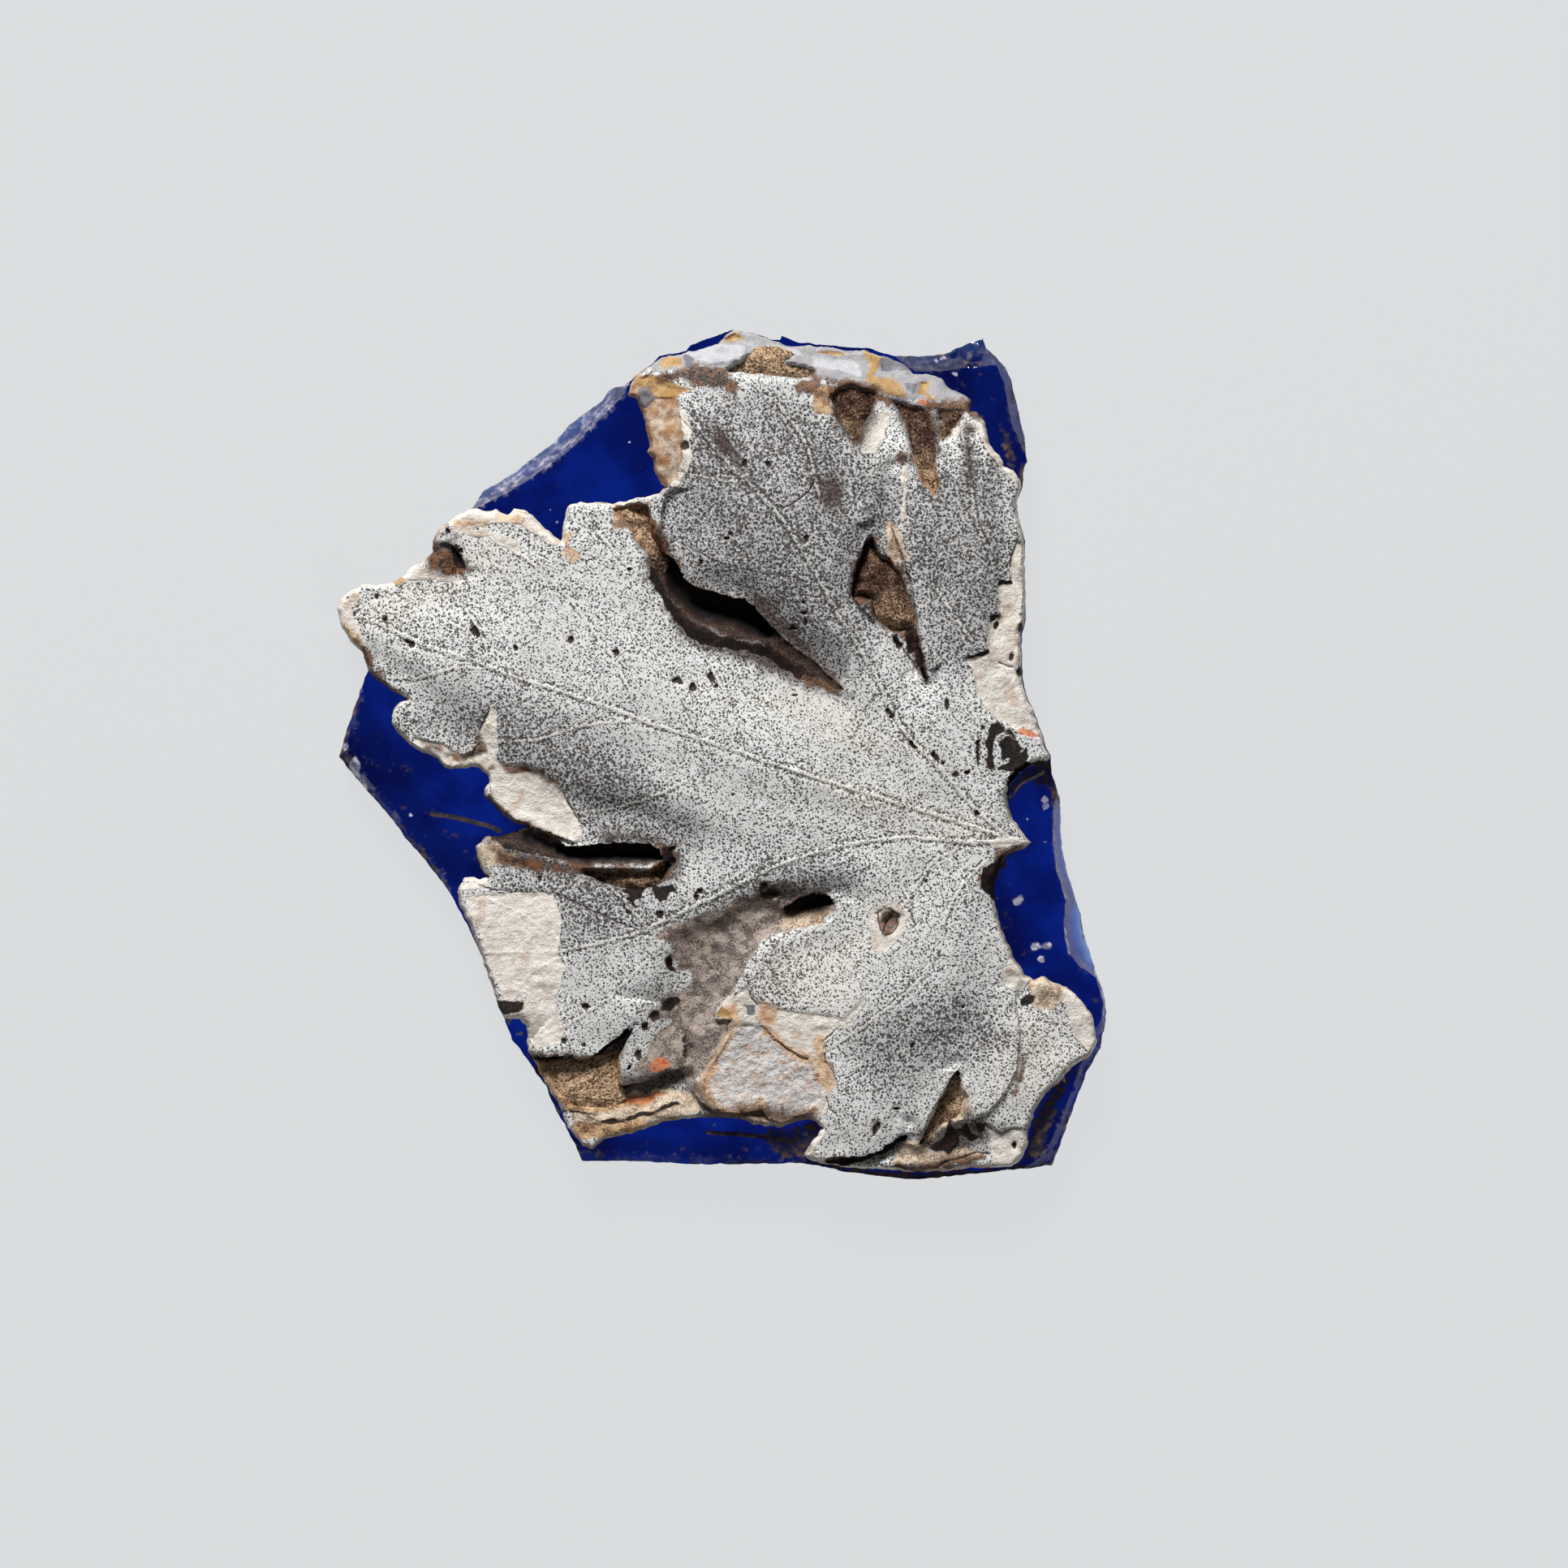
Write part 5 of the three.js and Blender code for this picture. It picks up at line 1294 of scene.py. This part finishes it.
        [(842, 436), (870, 429), (862, 440), (846, 448)], [(842, 448), (862, 446), (850, 457)],
        [(1084, 441), (1100, 437), (1124, 456), (1086, 457)], [(1112, 474), (1130, 470), (1126, 487)],
        [(916, 1238), (934, 1237), (932, 1249), (920, 1250)],
        [(786, 480), (800, 478), (806, 492), (796, 502), (788, 498)],
        [(654, 1308), (662, 1312), (690, 1356), (700, 1372), (690, 1372), (672, 1346)],
    ],
}
WHITE_FACETS = [
    [(843, 434), (866, 426), (895, 424), (920, 426), (918, 440), (900, 446), (880, 450), (862, 448)],
    [(1000, 440), (1040, 440), (1060, 452), (1062, 466), (1030, 455), (1000, 450)],
    [(945, 424), (975, 428), (990, 438), (976, 442), (950, 432)],
]
SOFT_REACH = 2.6
SHADE_REACH = 1.4
SHADED = [
    [(806, 640), (826, 664), (838, 690), (850, 716), (880, 728), (925, 738), (965, 764), (1008, 806),
     (1050, 856), (1020, 852), (985, 842), (950, 826), (915, 812), (876, 806), (842, 788), (816, 750),
     (800, 706), (790, 672)],
    [(920, 726), (950, 740), (985, 780), (1010, 806), (1000, 830), (960, 800), (930, 770)],
    [(1052, 690), (1066, 664), (1080, 662), (1084, 700), (1110, 700), (1126, 740), (1134, 790), (1142, 836),
     (1132, 826), (1118, 790), (1080, 768), (1066, 742), (1050, 744)],
    [(600, 1030), (650, 1046), (700, 1060), (740, 1074), (800, 1076), (830, 1060), (828, 1040), (842, 1064),
     (830, 1088), (800, 1098), (750, 1092), (700, 1078), (640, 1070), (600, 1060)],
    [(820, 1148), (846, 1140), (884, 1140), (884, 1166), (862, 1188), (828, 1184)],
    [(925, 1088), (965, 1084), (1024, 1096), (1030, 1120), (1000, 1112), (962, 1132), (930, 1116)],
    [(812, 1224), (846, 1222), (850, 1250), (812, 1256)],
    [(1006, 584), (1038, 584), (1038, 624), (1014, 634)],
    [(878, 526), (902, 538), (914, 572), (888, 562)],
    [(1016, 476), (1084, 480), (1080, 520), (1058, 560), (1026, 524)],
    [(1098, 488), (1152, 502), (1162, 560), (1130, 560), (1110, 520)],
    [(1132, 1396), (1170, 1372), (1218, 1378), (1218, 1408), (1180, 1426), (1130, 1422)],
    [(880, 800), (920, 786), (960, 812), (1004, 842), (1040, 854), (1000, 852), (950, 830)],
    [(740, 1022), (800, 1028), (824, 1040), (800, 1040), (740, 1040)],
    [(758, 1330), (850, 1306), (850, 1332), (800, 1356), (760, 1356)],
    [(648, 1296), (704, 1298), (740, 1304), (776, 1264), (764, 1304), (720, 1322), (660, 1312)],
    [(836, 1330), (860, 1330), (880, 1366), (940, 1362), (1010, 1370), (1000, 1386), (870, 1378),
     (844, 1352)],
    [(1184, 510), (1200, 520), (1200, 600), (1188, 590)],
    [(528, 664), (560, 664), (580, 704), (552, 714), (528, 702)],
]
# Areas where the skin is painted darker, with larger pricks: denser dirt, and painted shade on slopes turned
# from the lamp.
DIRTIER_AND_SHADED = [
    [(812, 600), (840, 500), (900, 490), (1000, 500), (1060, 570), (1110, 620), (1120, 700), (1090, 780),
     (1060, 820), (1030, 830), (950, 780), (850, 715), (815, 650)],
    [(850, 500), (960, 490), (1010, 520), (1060, 580), (1000, 640), (900, 620)],
    [(1110, 590), (1150, 620), (1190, 560), (1230, 600), (1250, 700), (1210, 800), (1150, 800), (1110, 700)],
    [(490, 880), (620, 850), (740, 920), (860, 1010), (850, 1050), (780, 1030), (700, 960), (600, 930)],
    [(600, 1040), (700, 1070), (780, 1100), (840, 1130), (900, 1090), (1000, 1060), (1060, 1080), (980, 1110),
     (850, 1150), (740, 1130), (640, 1080)],
    [(1040, 1260), (1200, 1220), (1240, 1280), (1180, 1300), (1080, 1340)],
    [(1130, 580), (1230, 560), (1250, 700), (1215, 820), (1150, 830), (1120, 720)],
    [(560, 880), (640, 860), (780, 930), (820, 1000), (740, 1030), (640, 940)],
    [(820, 610), (860, 520), (1000, 520), (1080, 620), (1050, 760), (960, 760), (860, 710)],
    [(620, 1070), (760, 1110), (790, 1150), (690, 1165), (620, 1110)],
]
# Areas where the skin is painted lighter and creamier: cream skin, and painted light where the surface faces
# the lamp.
CREAMIER_AND_LIT = [
    [(930, 1165), (1040, 1140), (1075, 1130), (1060, 1230), (1036, 1256), (965, 1243), (921, 1224)],
    [(425, 740), (520, 700), (600, 650), (640, 690), (560, 740), (470, 790)],
    [(980, 940), (1200, 1000), (1260, 1036), (1180, 1040), (1040, 1010)],
    [(1070, 1110), (1120, 1108), (1128, 1150), (1090, 1164), (1066, 1140)],
    [(1240, 1240), (1300, 1250), (1330, 1300), (1270, 1370), (1210, 1370)],
    [(1000, 830), (1100, 900), (1160, 930), (1060, 940), (900, 860)],
]
print("the skin's", len(PATCHES), "kinds of patch have", sum(map(len, PATCHES.values())), "outlines")

# %% Height and layers of the leaf
LEAF_RIM = 0.25
RIM_ROUNDING = 0.4
LEAF_SINK = 0.02
VEIN_WIDTH = 0.2
VEIN_HEIGHT = 0.06
GROOVE_DEPTH = 0.07
STEP_RUN = 0.07
SCARP_RUN = 0.07
PIT_DEPTH = 0.25
STAR_DEPTH = 0.35
STREAKED = [0.35, 1]
TORN_DROP = 0.2


def softly_inside(xy, outlines, reach=SOFT_REACH):
    """1 well inside the outlines, 0 well outside them, and a broad change between."""
    return smooth(deepest(xy, outlines, reach, step=0.5), -0.7 * reach, 0.8 * reach)


def scarp_height(xy, lift, drop, run, line, beyond):
    """A small cliff: higher on one side of a line and lower on the other, and level again at run."""
    away = distance(xy, line, reach=run)
    tip = np.minimum(np.hypot(*(xy - line[0]).T), np.hypot(*(xy - line[-1]).T))
    fade = (1 - smooth(away, 0, run)) * smooth(tip, 0, 0.9)
    high = inside(xy, np.concatenate([line, beyond]))
    return np.where(high, lift, -drop) * fade * smooth(away, 0, SCARP_RUN)


def hollow_depth(xy, lip, opening):
    """1 under the lip of a hollow, and 0 where its floor comes up to the surface."""
    within = inside(xy, np.concatenate([lip, opening]))
    low = distance(xy, lip, reach=4)
    up = distance(xy, opening, reach=4)
    return np.where(within, smooth(up / np.maximum(low + up, 0.01), 0, 0.8), 0)


def facets(xy):
    """The freshly broken glass in flat chips, each a little higher or lower than the next."""
    height = np.zeros(len(xy))
    chips = WHITE_FACETS + PATCHES["grey"] + PATCHES["ochre"]
    for number, outline in enumerate(chips):
        lift = (0.16, -0.12, 0.08, -0.18)[number % 4]
        height += lift * smooth(depth(xy, ragged(outline, amount=0.03)), 0, 0.1)
    return height


def leaf_surface(xy):
    """Heights and layers of the leaf: large form, cliffs and flakes, grain, veins, rim, hollows and pits."""
    edge = distance(xy, leaf_outline, closed=True)
    layers = {name: deepest(xy, outlines) for name, outlines in PATCHES.items()}
    main = nearest_line(xy, main_veins)
    side = nearest_line(xy, side_veins)
    groove = nearest_line(xy, grooves)
    crack = nearest_line(xy, cracks)
    spot = round_marks(xy, SPOTS)
    height = form_height(xy)
    for scarp in scarps:
        height += scarp_height(xy, *scarp)
    for drop, outline in spalls.values():
        height -= drop * smooth(depth(xy, outline), -0.02, STEP_RUN)
    height -= TORN_DROP * smooth(depth(xy, ragged(STAINED_BREAK)), -0.02, 0.2)
    broken = smooth(layers["spall"], 0, 0.15)
    fresh = smooth(layers["break"], 0, 0.3)
    torn = smooth(layers["stain"], 0, 0.3)
    earthy = np.maximum(np.maximum(layers["tan"], layers["brown"]), layers["warm"])
    bare = np.maximum(smooth(layers["valley"], -0.1, 0.2), smooth(earthy, -0.1, 0.2))
    height += rough(xy, 4.0, 3, 40) * 0.06
    pebbled = smooth(layers["corner"], 0, 0.3)
    height += rough(xy, 0.8, 3, 50) * (0.014 + 0.02 * broken + 0.1 * bare + 0.1 * torn)
    height += rough(xy * STREAKED, 0.5, 3, 55) * (0.004 + 0.03 * broken + 0.018 * pebbled)
    height += noise(xy, 0.32, 57) * (0.01 * broken + 0.035 * pebbled)
    height += facets(xy) * np.maximum(fresh, torn)
    plain = 1 - np.maximum(np.maximum(fresh, torn), bare)
    wear = 0.75 + 0.45 * noise(xy, 1.3, 33)
    height += VEIN_HEIGHT * (1 - smooth(main, 0.02, VEIN_WIDTH)) * plain * wear
    height -= 0.6 * GROOVE_DEPTH * smooth(main, 0.12, 0.24) * (1 - smooth(main, 0.24, 0.45)) * plain
    height += 0.6 * VEIN_HEIGHT * (1 - smooth(side, 0, 0.15)) * plain * wear
    height -= 0.4 * GROOVE_DEPTH * smooth(side, 0.1, 0.2) * (1 - smooth(side, 0.2, 0.34)) * plain
    height -= 0.5 * GROOVE_DEPTH * (1 - smooth(groove, 0, 0.13))
    height -= 1.2 * GROOVE_DEPTH * (1 - smooth(crack, 0, 0.12))
    rim = np.clip(edge / (RIM_ROUNDING * (1 + 0.4 * noise(xy, 1.1, 34))), 0, 1)
    height = np.maximum(height, LEAF_RIM)
    height = LEAF_RIM + (height - LEAF_RIM) * np.sqrt(1 - (1 - rim) ** 2)
    hollow = np.zeros(len(xy))
    for floor, lip, opening in hollows.values():
        sunk = hollow_depth(xy, lip, opening)
        bottom = floor + rough(xy, 0.6, 2, 70) * 0.08
        fall = height - np.minimum(bottom, height)
        height -= fall * sunk
        hollow = np.maximum(hollow, sunk * smooth(fall, 0, 1.4))
    for floor, _, _, outline in SOIL_LUMPS.values():
        bed = smooth(depth(xy, ragged(outline)), -SOIL_BANK, 0.1)
        height += (np.minimum(floor, height) - height) * bed
    star = np.hypot(*(xy - place([STAR_PIT])[0]).T) * (1 + 0.5 * noise(xy, 0.6, 35))
    height -= STAR_DEPTH * (1 - smooth(star, 0.2, 0.9))
    height -= PIT_DEPTH * smooth(spot, -0.2, 0.4)
    layers.update(edge=edge, vein=main, side=side, groove=groove, crack=crack, spot=spot,
                  hollow=hollow, dirt=softly_inside(xy, DIRTIER_AND_SHADED), bright=softly_inside(xy, CREAMIER_AND_LIT),
                  shade=softly_inside(xy, SHADED, SHADE_REACH), white=deepest(xy, WHITE_FACETS))
    return GROUND_THICKNESS + height, layers


print("the leaf is cut by", len(scarps), "small cliffs,", len(spalls), "spalls and", len(hollows), "hollows")

# %% Mesh of the leaf
LEAF_FILL = 0.18
RIM_ROWS = (0.06, 0.15, 0.28, 0.45)
BESIDE_CLIFF = 0.05
BESIDE_VEIN = (0.1, 0.22)
BESIDE_CRACK = 0.11


def both_sides(line, away):
    """A line moved a little to each side, so that a cliff along it stays sharp."""
    along = np.gradient(line, axis=0)
    along /= np.maximum(np.linalg.norm(along, axis=1), TINY)[:, None]
    side = np.stack([-along[:, 1], along[:, 0]], axis=1)
    return [line + side * away, line - side * away]


def leaf_rows():
    """Rows of mesh points, the ones that matter most first."""
    rows = [shifted(leaf_outline, inwards) for inwards in RIM_ROWS]
    cliffs = [lip for _, lip, _ in hollows.values()]
    cliffs += [outline for _, outline in spalls.values()]
    cliffs += [line for _, _, _, line, _ in scarps]
    for line in cliffs:
        rows += both_sides(line, BESIDE_CLIFF)
    for line in main_veins:
        rows.append(line)
        for away in BESIDE_VEIN:
            rows += both_sides(line, away)
    for line in side_veins + grooves + cracks:
        rows += [line, *both_sides(line, BESIDE_CRACK)]
    return rows


leaf = relief("white_glass", leaf_outline, leaf_rows(), LEAF_FILL, leaf_surface,
              GROUND_THICKNESS - LEAF_SINK, wall_rows=2)
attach(leaf, "root")
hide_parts("white_glass_leaf")

# %% [markdown]
# ## Soil in the hollows
#
# Burial soil is caked in the deep notches. Each lump is grains stuck together, so its top is the same
# relief builder over the lump's outline, with noise at the size of grains. It reaches a little into the
# banks of its hollow, which is how caked soil sits.

# %% Lumps of soil
SOIL_OVERLAP = 0.3


def soil_lump(name, floor, heights, paleness_and_shade, outline):
    """Caked grains over an outline, with a height and a paleness, partly painted shade, at the north and at
    the south end.
    """
    shape = shifted(ragged(outline, step=0.2, amount=0.1), -SOIL_OVERLAP)
    base = GROUND_THICKNESS + floor
    south = shape[:, 1].min()
    north = shape[:, 1].max()

    def surface(xy):
        edge = distance(xy, shape, closed=True)
        swell = smooth(edge, -0.1, 1.1)
        down = (north - xy[:, 1]) / (north - south)
        grains = rough(xy, 0.5, 3, 80) * 0.13 + rough(xy, 1.6, 2, 90) * 0.12
        high = heights[0] + (heights[1] - heights[0]) * down
        top = base + 0.12 + high * 0.72 * swell + grains * (0.4 + 0.6 * smooth(edge, 0, 0.4))
        # Painted shade: the end of a lump that lies deep under a bank is darker.
        pale = paleness_and_shade[0] + (paleness_and_shade[1] - paleness_and_shade[0]) * smooth(down, 0.4, 0.85)
        return np.maximum(top, base + 0.03), {"edge": edge, "pale": pale}

    lump = relief(name + "_grains", shape, [shifted(shape, 0.12)], 0.15, surface, base - 0.03)
    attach(lump, "root")
    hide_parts(name)
    return lump


lumps = [soil_lump(name, *facts) for name, facts in SOIL_LUMPS.items()]

# %% [markdown]
# ## Finish of the blue glass
#
# The glass is clear, so its colour is in its body, not on its face: the absorption lets the blue through
# and stops the red and the green. Dirt in the pits of its face, with painted shadow under the leaf's lower
# edges, is a rough brown film, laid over the glass by a mask of noise. Some breaks, and the glass along the
# leaf's edges, are darkened by their base colour: darker glass, and painted shade beside the white layer.

# %% Blue glass
def tone(red, green, blue):
    """A colour as it is seen on a screen, from 0 to 255, for a shader's colour socket."""
    seen = np.array([red, green, blue]) / 255
    linear = np.where(seen <= 0.04045, seen / 12.92, ((seen + 0.055) / 1.055) ** 2.4)
    return tuple(float(value) for value in linear)


GLASS_COLOR = (0.0, 0.395, 0.81)
GLASS_DENSITY = 2200.0


def blue_glass_material():
    glass = Shader("cobalt blue glass")
    edge = glass.layer("edge")
    film = glass.layer("film")
    darker_glass_and_shade = glass.layer("darker_glass_and_shade")
    cloud = glass.grain(1.6, detail=4.0)
    mottle = glass.grain(0.5, detail=4.0)
    wander = mottle - 0.5
    scratches = glass.grain(0.4, detail=3.0, stretch=(0.25, 1, 1))
    pits = glass.dots(0.8).fall(0.03, 0.09) * cloud.rise(0.45, 0.6)
    height = mottle * 0.5 + scratches * 0.4 - pits
    bump = glass.node("ShaderNodeBump", inputs={"Height": height, "Distance": 0.00001, "Strength": 0.6})
    depths = glass.mix(glass.grain(5.0, detail=4.0).rise(0.42, 0.58), (0.34, 0.36, 0.5), (1.0, 1.0, 1.0))
    # Painted shade and darker glass: the body's colour is darkened where the glass is marked as dim.
    depths = glass.mix(darker_glass_and_shade.at_most(1.0), depths, (0.03, 0.035, 0.07))
    body = glass.node("ShaderNodeBsdfPrincipled", inputs={
        "Base Color": depths, "Roughness": 0.08, "IOR": 1.5, "Transmission Weight": 1.0, "Normal": bump,
    })
    # Painted shadow and dirt: a rough dark brown film under the leaf's lower edges, in pits, along the sticks
    # and at the edges of darker breaks.
    dirt = (glass.layer("dirt") + wander * 0.9).rise(-0.1, 0.25) * (0.75 + mottle.rise(0.4, 0.6) * 0.25)
    dirt = dirt.at_least((glass.layer("stick") + wander * 0.1).fall(0.12, 0.2) * 0.95)
    dirt = dirt.at_least(edge.fall(0.02, 0.4) * cloud.rise(0.48, 0.58) * darker_glass_and_shade.rise(0.05, 0.6))
    dirt = dirt.at_least(darker_glass_and_shade * (cloud + wander * 0.6).rise(0.6, 0.8))
    dirt = dirt.at_least(pits * 0.8)
    dirt_and_shade_color = glass.mix(mottle.rise(0.42, 0.66), tone(24, 16, 16), tone(84, 62, 52))
    dirty = glass.node("ShaderNodeBsdfPrincipled", inputs={"Base Color": dirt_and_shade_color, "Roughness": 0.8})
    pale = film * (glass.grain(1.0, detail=5.0, stretch=(1, 0.6, 1)) + wander * 0.3).rise(0.36, 0.7) * 0.8
    pale = pale.at_least((glass.layer("line") + wander * 0.25).fall(0.02, 0.16) * cloud.rise(0.3, 0.42) * 0.9)
    pale = pale.at_least((glass.layer("deposit") + wander * 0.8).rise(0.0, 0.3) * 0.95)
    bloom = glass.mix(mottle.rise(0.4, 0.65), tone(96, 98, 132), tone(196, 192, 204))
    chalky = glass.node("ShaderNodeBsdfPrincipled", inputs={"Base Color": bloom, "Roughness": 0.6})
    surface = glass.node("ShaderNodeMixShader", inputs={0: dirt, 1: body, 2: dirty})
    surface = glass.node("ShaderNodeMixShader", inputs={0: pale, 1: surface, 2: chalky})
    volume = glass.node("ShaderNodeVolumeAbsorption", inputs={
        "Color": (*GLASS_COLOR, 1), "Density": GLASS_DENSITY,
    })
    return glass.finish(surface, volume)


blue.data.materials.append(blue_glass_material())
print("the blue glass finish has", len(blue.data.materials[0].node_tree.nodes), "nodes")

# %% [markdown]
# ## Finish of the white glass
#
# The skin is grey-white and pricked all over with dark marks a tenth of a millimetre across, where the
# weathering has opened bubbles and filled them with dirt. Where it has flaked, the glass under it is
# cream. The top break is fresher, smoother and stained ochre. The hollows get painted shadow over brown
# soil film, and painted shade and painted light lie in broad patches over the skin.

# %% White glass
COATS = [
    ("spall", 0.03, 0.25, 1.0, tone(212, 203, 192), tone(236, 230, 221)),
    ("corner", 0.1, 0.5, 0.9, tone(196, 192, 192), tone(216, 212, 208)),
    ("toast", 0.25, 1.5, 0.85, tone(172, 116, 70), tone(224, 192, 156)),
    ("break", 0.04, 0.2, 1.0, tone(146, 144, 148), tone(166, 164, 164)),
    ("stain", 0.1, 0.4, 0.95, tone(156, 112, 74), tone(208, 190, 170)),
    ("ochre", 0.05, 0.3, 0.95, tone(160, 124, 74), tone(188, 156, 108)),
    ("grey", 0.04, 0.15, 0.95, tone(100, 100, 106), tone(126, 126, 132)),
    ("white", 0.04, 0.15, 0.9, tone(172, 172, 178), tone(192, 192, 194)),
]
GRAINY_COATS = [
    ("valley", 0.08, 1.1, 0.9, tone(92, 76, 68), tone(180, 164, 152)),
    ("warm", 0.12, 0.8, 0.85, tone(140, 112, 88), tone(226, 208, 182)),
    ("tan", 0.1, 0.6, 0.9, tone(116, 80, 54), tone(206, 170, 128)),
    # brown and dark are partly painted shade and painted shadow, round the hollows and under edges.
    ("brown", 0.2, 1.3, 0.9, tone(38, 24, 18), tone(122, 84, 56)),
    ("dark", 0.05, 0.4, 0.98, tone(6, 3, 3), tone(34, 18, 16)),
    ("rust", 0.08, 0.3, 0.85, tone(186, 88, 42), tone(220, 138, 88)),
]


def white_glass_material():
    white = Shader("weathered white glass")
    edge = white.layer("edge")
    vein = white.layer("vein")
    side = white.layer("side")
    dirt = white.layer("dirt")
    bright = white.layer("bright")
    cloud = white.grain(6.0, detail=3.0)
    mottle = white.grain(0.8, detail=4.0)
    fine = white.grain(0.13, detail=2.0)
    wander = mottle - 0.5
    speckle = fine - 0.5

    def patch(name, soft, reach):
        return (white.layer(name) + wander * reach + speckle * 0.15).rise(-soft, soft)

    # A painted highlight along the veins, over their cream colour: the skin turns cream and its pricks shrink
    # on them.
    vein_cream_and_highlight = (vein + wander * 0.1).fall(0.05, 0.16) * 0.7
    vein_cream_and_highlight = vein_cream_and_highlight.at_least((side + wander * 0.1).fall(0.03, 0.13))
    # Painted shade beside the veins: the pricks grow larger in the strips along each side.
    beside = (vein + wander * 0.12).rise(0.1, 0.18) * vein.fall(0.24, 0.45)
    beside = beside.at_least(side.rise(0.09, 0.15) * side.fall(0.18, 0.34))
    rim = (edge + speckle * 0.5 + wander * 0.4).fall(0.08, 0.24)
    skin = white.mix(cloud.rise(0.35, 0.65), tone(210, 209, 207), tone(227, 227, 225))
    # Painted light and cream skin: lighter and creamier in those areas, with browner pricks below.
    skin = white.mix(bright * 0.5, skin, tone(232, 229, 218))
    # Painted shade and denser dirt: in the darker areas the skin is greyer, and below its pricks grow larger.
    skin = white.mix(dirt * 0.8, skin, tone(176, 174, 174))
    skin = white.mix(mottle.rise(0.5, 0.7) * 0.5, skin, tone(240, 238, 232))
    skin = white.mix(vein_cream_and_highlight * 0.5, skin, tone(222, 216, 200))
    size = 0.37 + dirt * 0.13 + (cloud - 0.5) * 0.3 + wander * 0.25 + beside * 0.12
    size = size - vein_cream_and_highlight * 0.1 - rim * 0.3
    fine_dots = (white.dots(0.155) - size).fall(-0.06, 0.06)
    large_dots = (white.dots(0.27, 0.37) - size * 0.8).fall(-0.04, 0.04)
    prick = large_dots.at_least(fine_dots * 0.85)
    skin = white.mix(prick * 0.93, skin, white.mix(bright.rise(0.2, 0.8), tone(44, 41, 42), tone(74, 60, 48)))
    edge_color = white.mix((cloud + wander).rise(0.42, 0.58), tone(150, 118, 90), tone(228, 216, 194))
    color = white.mix(rim * 0.8, skin, edge_color)

    for name, soft, reach, strength, low, high in COATS:
        paint = white.mix(mottle.rise(0.34, 0.66), low, high)
        color = white.mix(patch(name, soft, reach) * strength, color, paint)
    pebbled = patch("corner", 0.1, 0.4)
    broken = patch("spall", 0.05, 0.2)
    wrinkle = pebbled * (white.grain(0.3, detail=3.0) + wander * 0.4).rise(0.55, 0.63) * 0.6
    wrinkle = wrinkle.at_least(broken * white.grain(1.5, detail=4.0).rise(0.56, 0.64) * 0.35)
    color = white.mix(wrinkle, color, tone(178, 130, 88))
    web = wander.math("ABSOLUTE").fall(0.0, 0.05) * patch("stain", 0.05, 0.2)
    color = white.mix(web * 0.3, color, tone(140, 92, 58))
    shade = (white.layer("shade") + wander * 0.9 + speckle * 0.7).rise(0.1, 0.8)
    color = white.mix(shade * 0.85, color, tone(58, 42, 36))
    for name, soft, reach, strength, low, high in GRAINY_COATS:
        paint = white.mix((fine + wander * 1.1).rise(0.36, 0.66), low, high)
        color = white.mix(patch(name, soft, reach) * strength, color, paint)

    # Dark brown in cracks and grooves: dirt, and in the grooves beside the veins painted shade as well.
    groove = (white.layer("groove") + speckle * 0.2 + wander * 0.1).fall(0.0, 0.1) * 0.7
    crack = (white.layer("crack") + speckle * 0.12 + wander * 0.08).fall(0.02, 0.09) * 0.85
    color = white.mix(groove.at_least(crack), color, tone(54, 38, 30))
    pit = (white.layer("spot") + speckle * 0.9).rise(-0.25, 0.05)
    color = white.mix(pit * 0.95, color, tone(44, 28, 22))
    # Painted shadow in the hollows, over a little soil: brown towards their openings and near black under
    # their lips.
    hollow = white.layer("hollow") + wander * 0.5 + speckle * 0.35
    soil_and_shade_tone = white.mix(fine.rise(0.4, 0.6), tone(40, 28, 24), tone(92, 70, 58))
    color = white.mix(hollow.rise(0.02, 0.3) * 0.9, color, soil_and_shade_tone)
    color = white.mix(hollow.rise(0.15, 0.6) * 0.95, color, tone(14, 9, 9))

    glassy = patch("break", 0.04, 0.3)
    gloss = white.node("ShaderNodeMapRange", inputs={"Value": glassy, "To Min": 0.8, "To Max": 0.36})
    bumps = white.grain(0.35, detail=4.0)
    height = mottle * 0.8 + bumps * (0.7 + broken * 2.4 + pebbled * 2.0) - prick * 0.5
    bump = white.node("ShaderNodeBump", inputs={"Height": height, "Distance": 0.00005, "Strength": 0.8})
    surface = white.node("ShaderNodeBsdfPrincipled", inputs={
        "Base Color": color, "Roughness": gloss, "Specular IOR Level": 0.2, "Normal": bump,
    })
    return white.finish(surface)


leaf.data.materials.append(white_glass_material())
print("the white glass finish has", len(leaf.data.materials[0].node_tree.nodes), "nodes")

# %% [markdown]
# ## Finish of the soil
#
# Caked soil is brown with pale mineral grains and dark gaps between them. Separate grains would be
# thousands of tiny meshes, so the lumps give the large form and noise at the size of a grain gives the
# rest, as colour and as a bump. One end of a lump is darker than the other: painted shade where it lies
# deep under a bank, over the soil's own colour.

# %% Soil
def soil_material():
    soil = Shader("caked soil")
    pale = soil.layer("pale")
    clod = soil.grain(0.9, detail=4.0)
    grain = soil.grain(0.17, detail=3.0)
    color = soil.mix((pale + (clod - 0.5) * 1.8).rise(-0.1, 1.1), tone(70, 44, 34), tone(208, 172, 138))
    color = soil.mix(grain.rise(0.54, 0.66) * (0.2 + pale * 0.6), color, tone(232, 208, 172))
    color = soil.mix(grain.fall(0.38, 0.5) * 0.85, color, tone(42, 29, 24))
    height = grain * 1.5 + clod
    bump = soil.node("ShaderNodeBump", inputs={"Height": height, "Distance": 0.0002, "Strength": 1.0})
    surface = soil.node("ShaderNodeBsdfPrincipled", inputs={
        "Base Color": color, "Roughness": 0.95, "Specular IOR Level": 0.2, "Normal": bump,
    })
    return soil.finish(surface)


caked = soil_material()
for lump in lumps:
    lump.data.materials.append(caked)
print("materials:", [material.name for material in bpy.data.materials if material.users])
